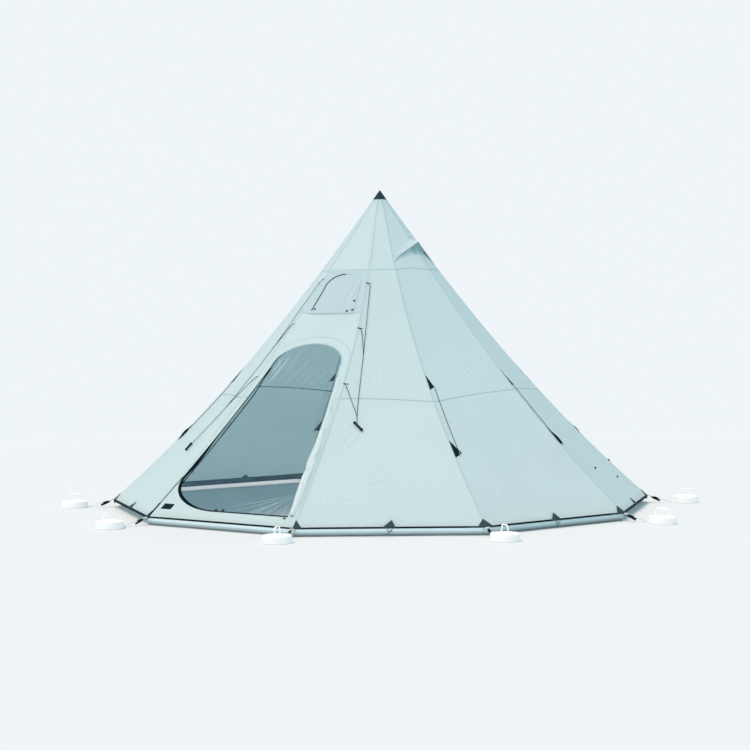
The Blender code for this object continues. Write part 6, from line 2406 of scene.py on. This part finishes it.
# %% Dress every piece
DRESS = {
    cloth: [canopy],
    roll_cloth: [rolled_door, tie_piece],
    hood_cloth: [vent_hood, hood_brim],
    level_cloth: [level_piece],
    thin_cloth: [window_flap, surround_piece],
    skirt_cloth: [*skirt_pieces[:-1], gusset_piece],
    skirt_shaded_copy: [skirt_pieces[-1]],
    seam_cloth: [seam_piece, binding_piece, piping_piece],
    netting_dark: [netting_door, window_net],
    vent_mesh: [vent_net],
    netting_facing_cloth: [facing_piece],
    webbing: [trim_piece, label_piece, tape_piece, pocket_piece, *strap_pieces],
    patch_cloth: [patch_piece],
    cap_cloth: [cap_piece],
    pale_webbing: pale_pieces,
    guy_cord: [*cords, *knot_pieces, *loop_pieces],
    pale_cord: [pale_piece],
    zip_black: [zip_piece, inner_zip_piece, flap_zip_piece],
    black_plastic: [*toggle_pieces, flap_toggle_piece, outer_slider, net_slider, fitting_piece],
    white_plastic: lock_pieces,
    white_iron: weight_pieces,
}
for finish, pieces in DRESS.items():
    for piece in pieces:
        piece.data.materials.clear()
        piece.data.materials.append(finish.material)

NODE_FINISH = {"pole_foot": black_plastic, "pole_head": black_plastic, "vent_prop": black_plastic}
NODE_FINISH.update({f"pole_{part}_tube": aluminium for part in ("lower", "middle", "upper")})
for name, finish in NODE_FINISH.items():
    for slot in bpy.data.objects[name].material_slots:
        slot.material = finish.material
print("dressed:", sum(len(pieces) for pieces in DRESS.values()), "pieces and", len(NODE_FINISH), "solids")

# %% [markdown]
# ## Floor, light and background
#
# The photograph was made in a white studio, where the floor runs into the background without an edge.
# A round floor is matt near the tent, so that it holds the soft shadow, and it turns towards the
# background's own colour far away. Light comes from all round, with one large warm lamp at the front
# left, which makes the left panels lighter than the right ones.

# %% World and key light
BACKGROUND = (0.862, 0.913, 0.945)
SKY_COLOUR = (0.500, 0.690, 0.780)
KEY_AZIMUTH = math.radians(-48)
KEY_ELEVATION = math.radians(64)
KEY_COLOUR = (1.000, 0.700, 0.540)
KEY_STRENGTH = 2.350
KEY_SOFTNESS = math.radians(40)

world = bpy.data.worlds.new("studio")
bpy.context.scene.world = world
world.use_nodes = True
nodes, links = world.node_tree.nodes, world.node_tree.links
lit_sky, seen_sky = nodes["Background"], nodes.new("ShaderNodeBackground")
lit_sky.inputs["Color"].default_value = (*SKY_COLOUR, 1.0)
seen_sky.inputs["Color"].default_value = (*BACKGROUND, 1.0)
# The camera, reflections and clear things see the background. All other light comes from the sky.
rays = nodes.new("ShaderNodeLightPath").outputs
seen = rays["Is Camera Ray"]
for ray in ("Is Glossy Ray", "Is Transmission Ray"):
    either = nodes.new("ShaderNodeMath")
    either.operation = "MAXIMUM"
    links.new(seen, either.inputs[0])
    links.new(rays[ray], either.inputs[1])
    seen = either.outputs[0]
pick_sky = nodes.new("ShaderNodeMixShader")
for socket, source in zip(pick_sky.inputs, (seen, lit_sky.outputs[0], seen_sky.outputs[0])):
    links.new(source, socket)
links.new(pick_sky.outputs[0], nodes["World Output"].inputs[0])

key_light = bpy.data.objects.new("key_light", bpy.data.lights.new("key_light", "SUN"))
bpy.context.scene.collection.objects.link(key_light)
key_light.data.energy = KEY_STRENGTH
key_light.data.color = KEY_COLOUR
key_light.data.angle = KEY_SOFTNESS
towards = outward(KEY_AZIMUTH) * math.cos(KEY_ELEVATION) + UP * math.sin(KEY_ELEVATION)
key_light.rotation_euler = Vector(towards).to_track_quat("Z", "Y").to_euler()

# %% Floor
FLOOR_RADIUS = 60.0
FLOOR_COLOUR = (0.730, 0.775, 0.805)
FLOOR_FADE = (6.0, 11.0)
FLOOR_SIDES = 96

turn = np.linspace(0, 2 * math.pi, FLOOR_SIDES, endpoint=False)
floor_rings = []
for reach in (FLOOR_RADIUS, 12.0, 6.0, 3.0, 0.5):
    floor_rings.append([(reach * math.cos(a), reach * math.sin(a), 0.0) for a in turn])
floor_batch = Batch()
floor_batch.sweep(floor_rings, capped=False)
centre = len(floor_batch.points)
floor_batch.faces.append(list(range(centre - FLOOR_SIDES, centre)))
floor_batch.uvs += [(0.0, 0.0)] * FLOOR_SIDES
floor = bpy.data.objects.new("floor", floor_batch.mesh("floor", smooth=False))
bpy.context.scene.collection.objects.link(floor)
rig.stage(floor)
paper = Finish("studio_floor", roughness=0.85)
spot = paper.place()
distance = paper.node("VectorMath", {"operation": "LENGTH"}, {0: spot}, "Value")
grain = paper.noise(3.0, 2.0)
paper.set(Base_Color=paper.blend(grain, shaded(FLOOR_COLOUR, 0.996), shaded(FLOOR_COLOUR, 1.004)))
glow = paper.node("Emission", None, {"Color": (*BACKGROUND, 1.0), "Strength": 1.0})
lit = Wire(paper, paper.shader.outputs[0])
faded = paper.node("MixShader", None, {0: distance.between(*FLOOR_FADE), 1: lit, 2: glow})
paper.links.new(faded.socket, paper.nodes["Material Output"].inputs[0])
floor.data.materials.append(paper.material)

# %% View settings, sizes and the end
bpy.context.scene.view_settings.view_transform = "Standard"
scene_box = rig.bounds()
sizes = {"frame": [list(corner) for corner in packed_box], "scene": [list(corner) for corner in scene_box]}
with open("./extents.json", "w") as file:
    json.dump(sizes, file)
print("box:", sizes)
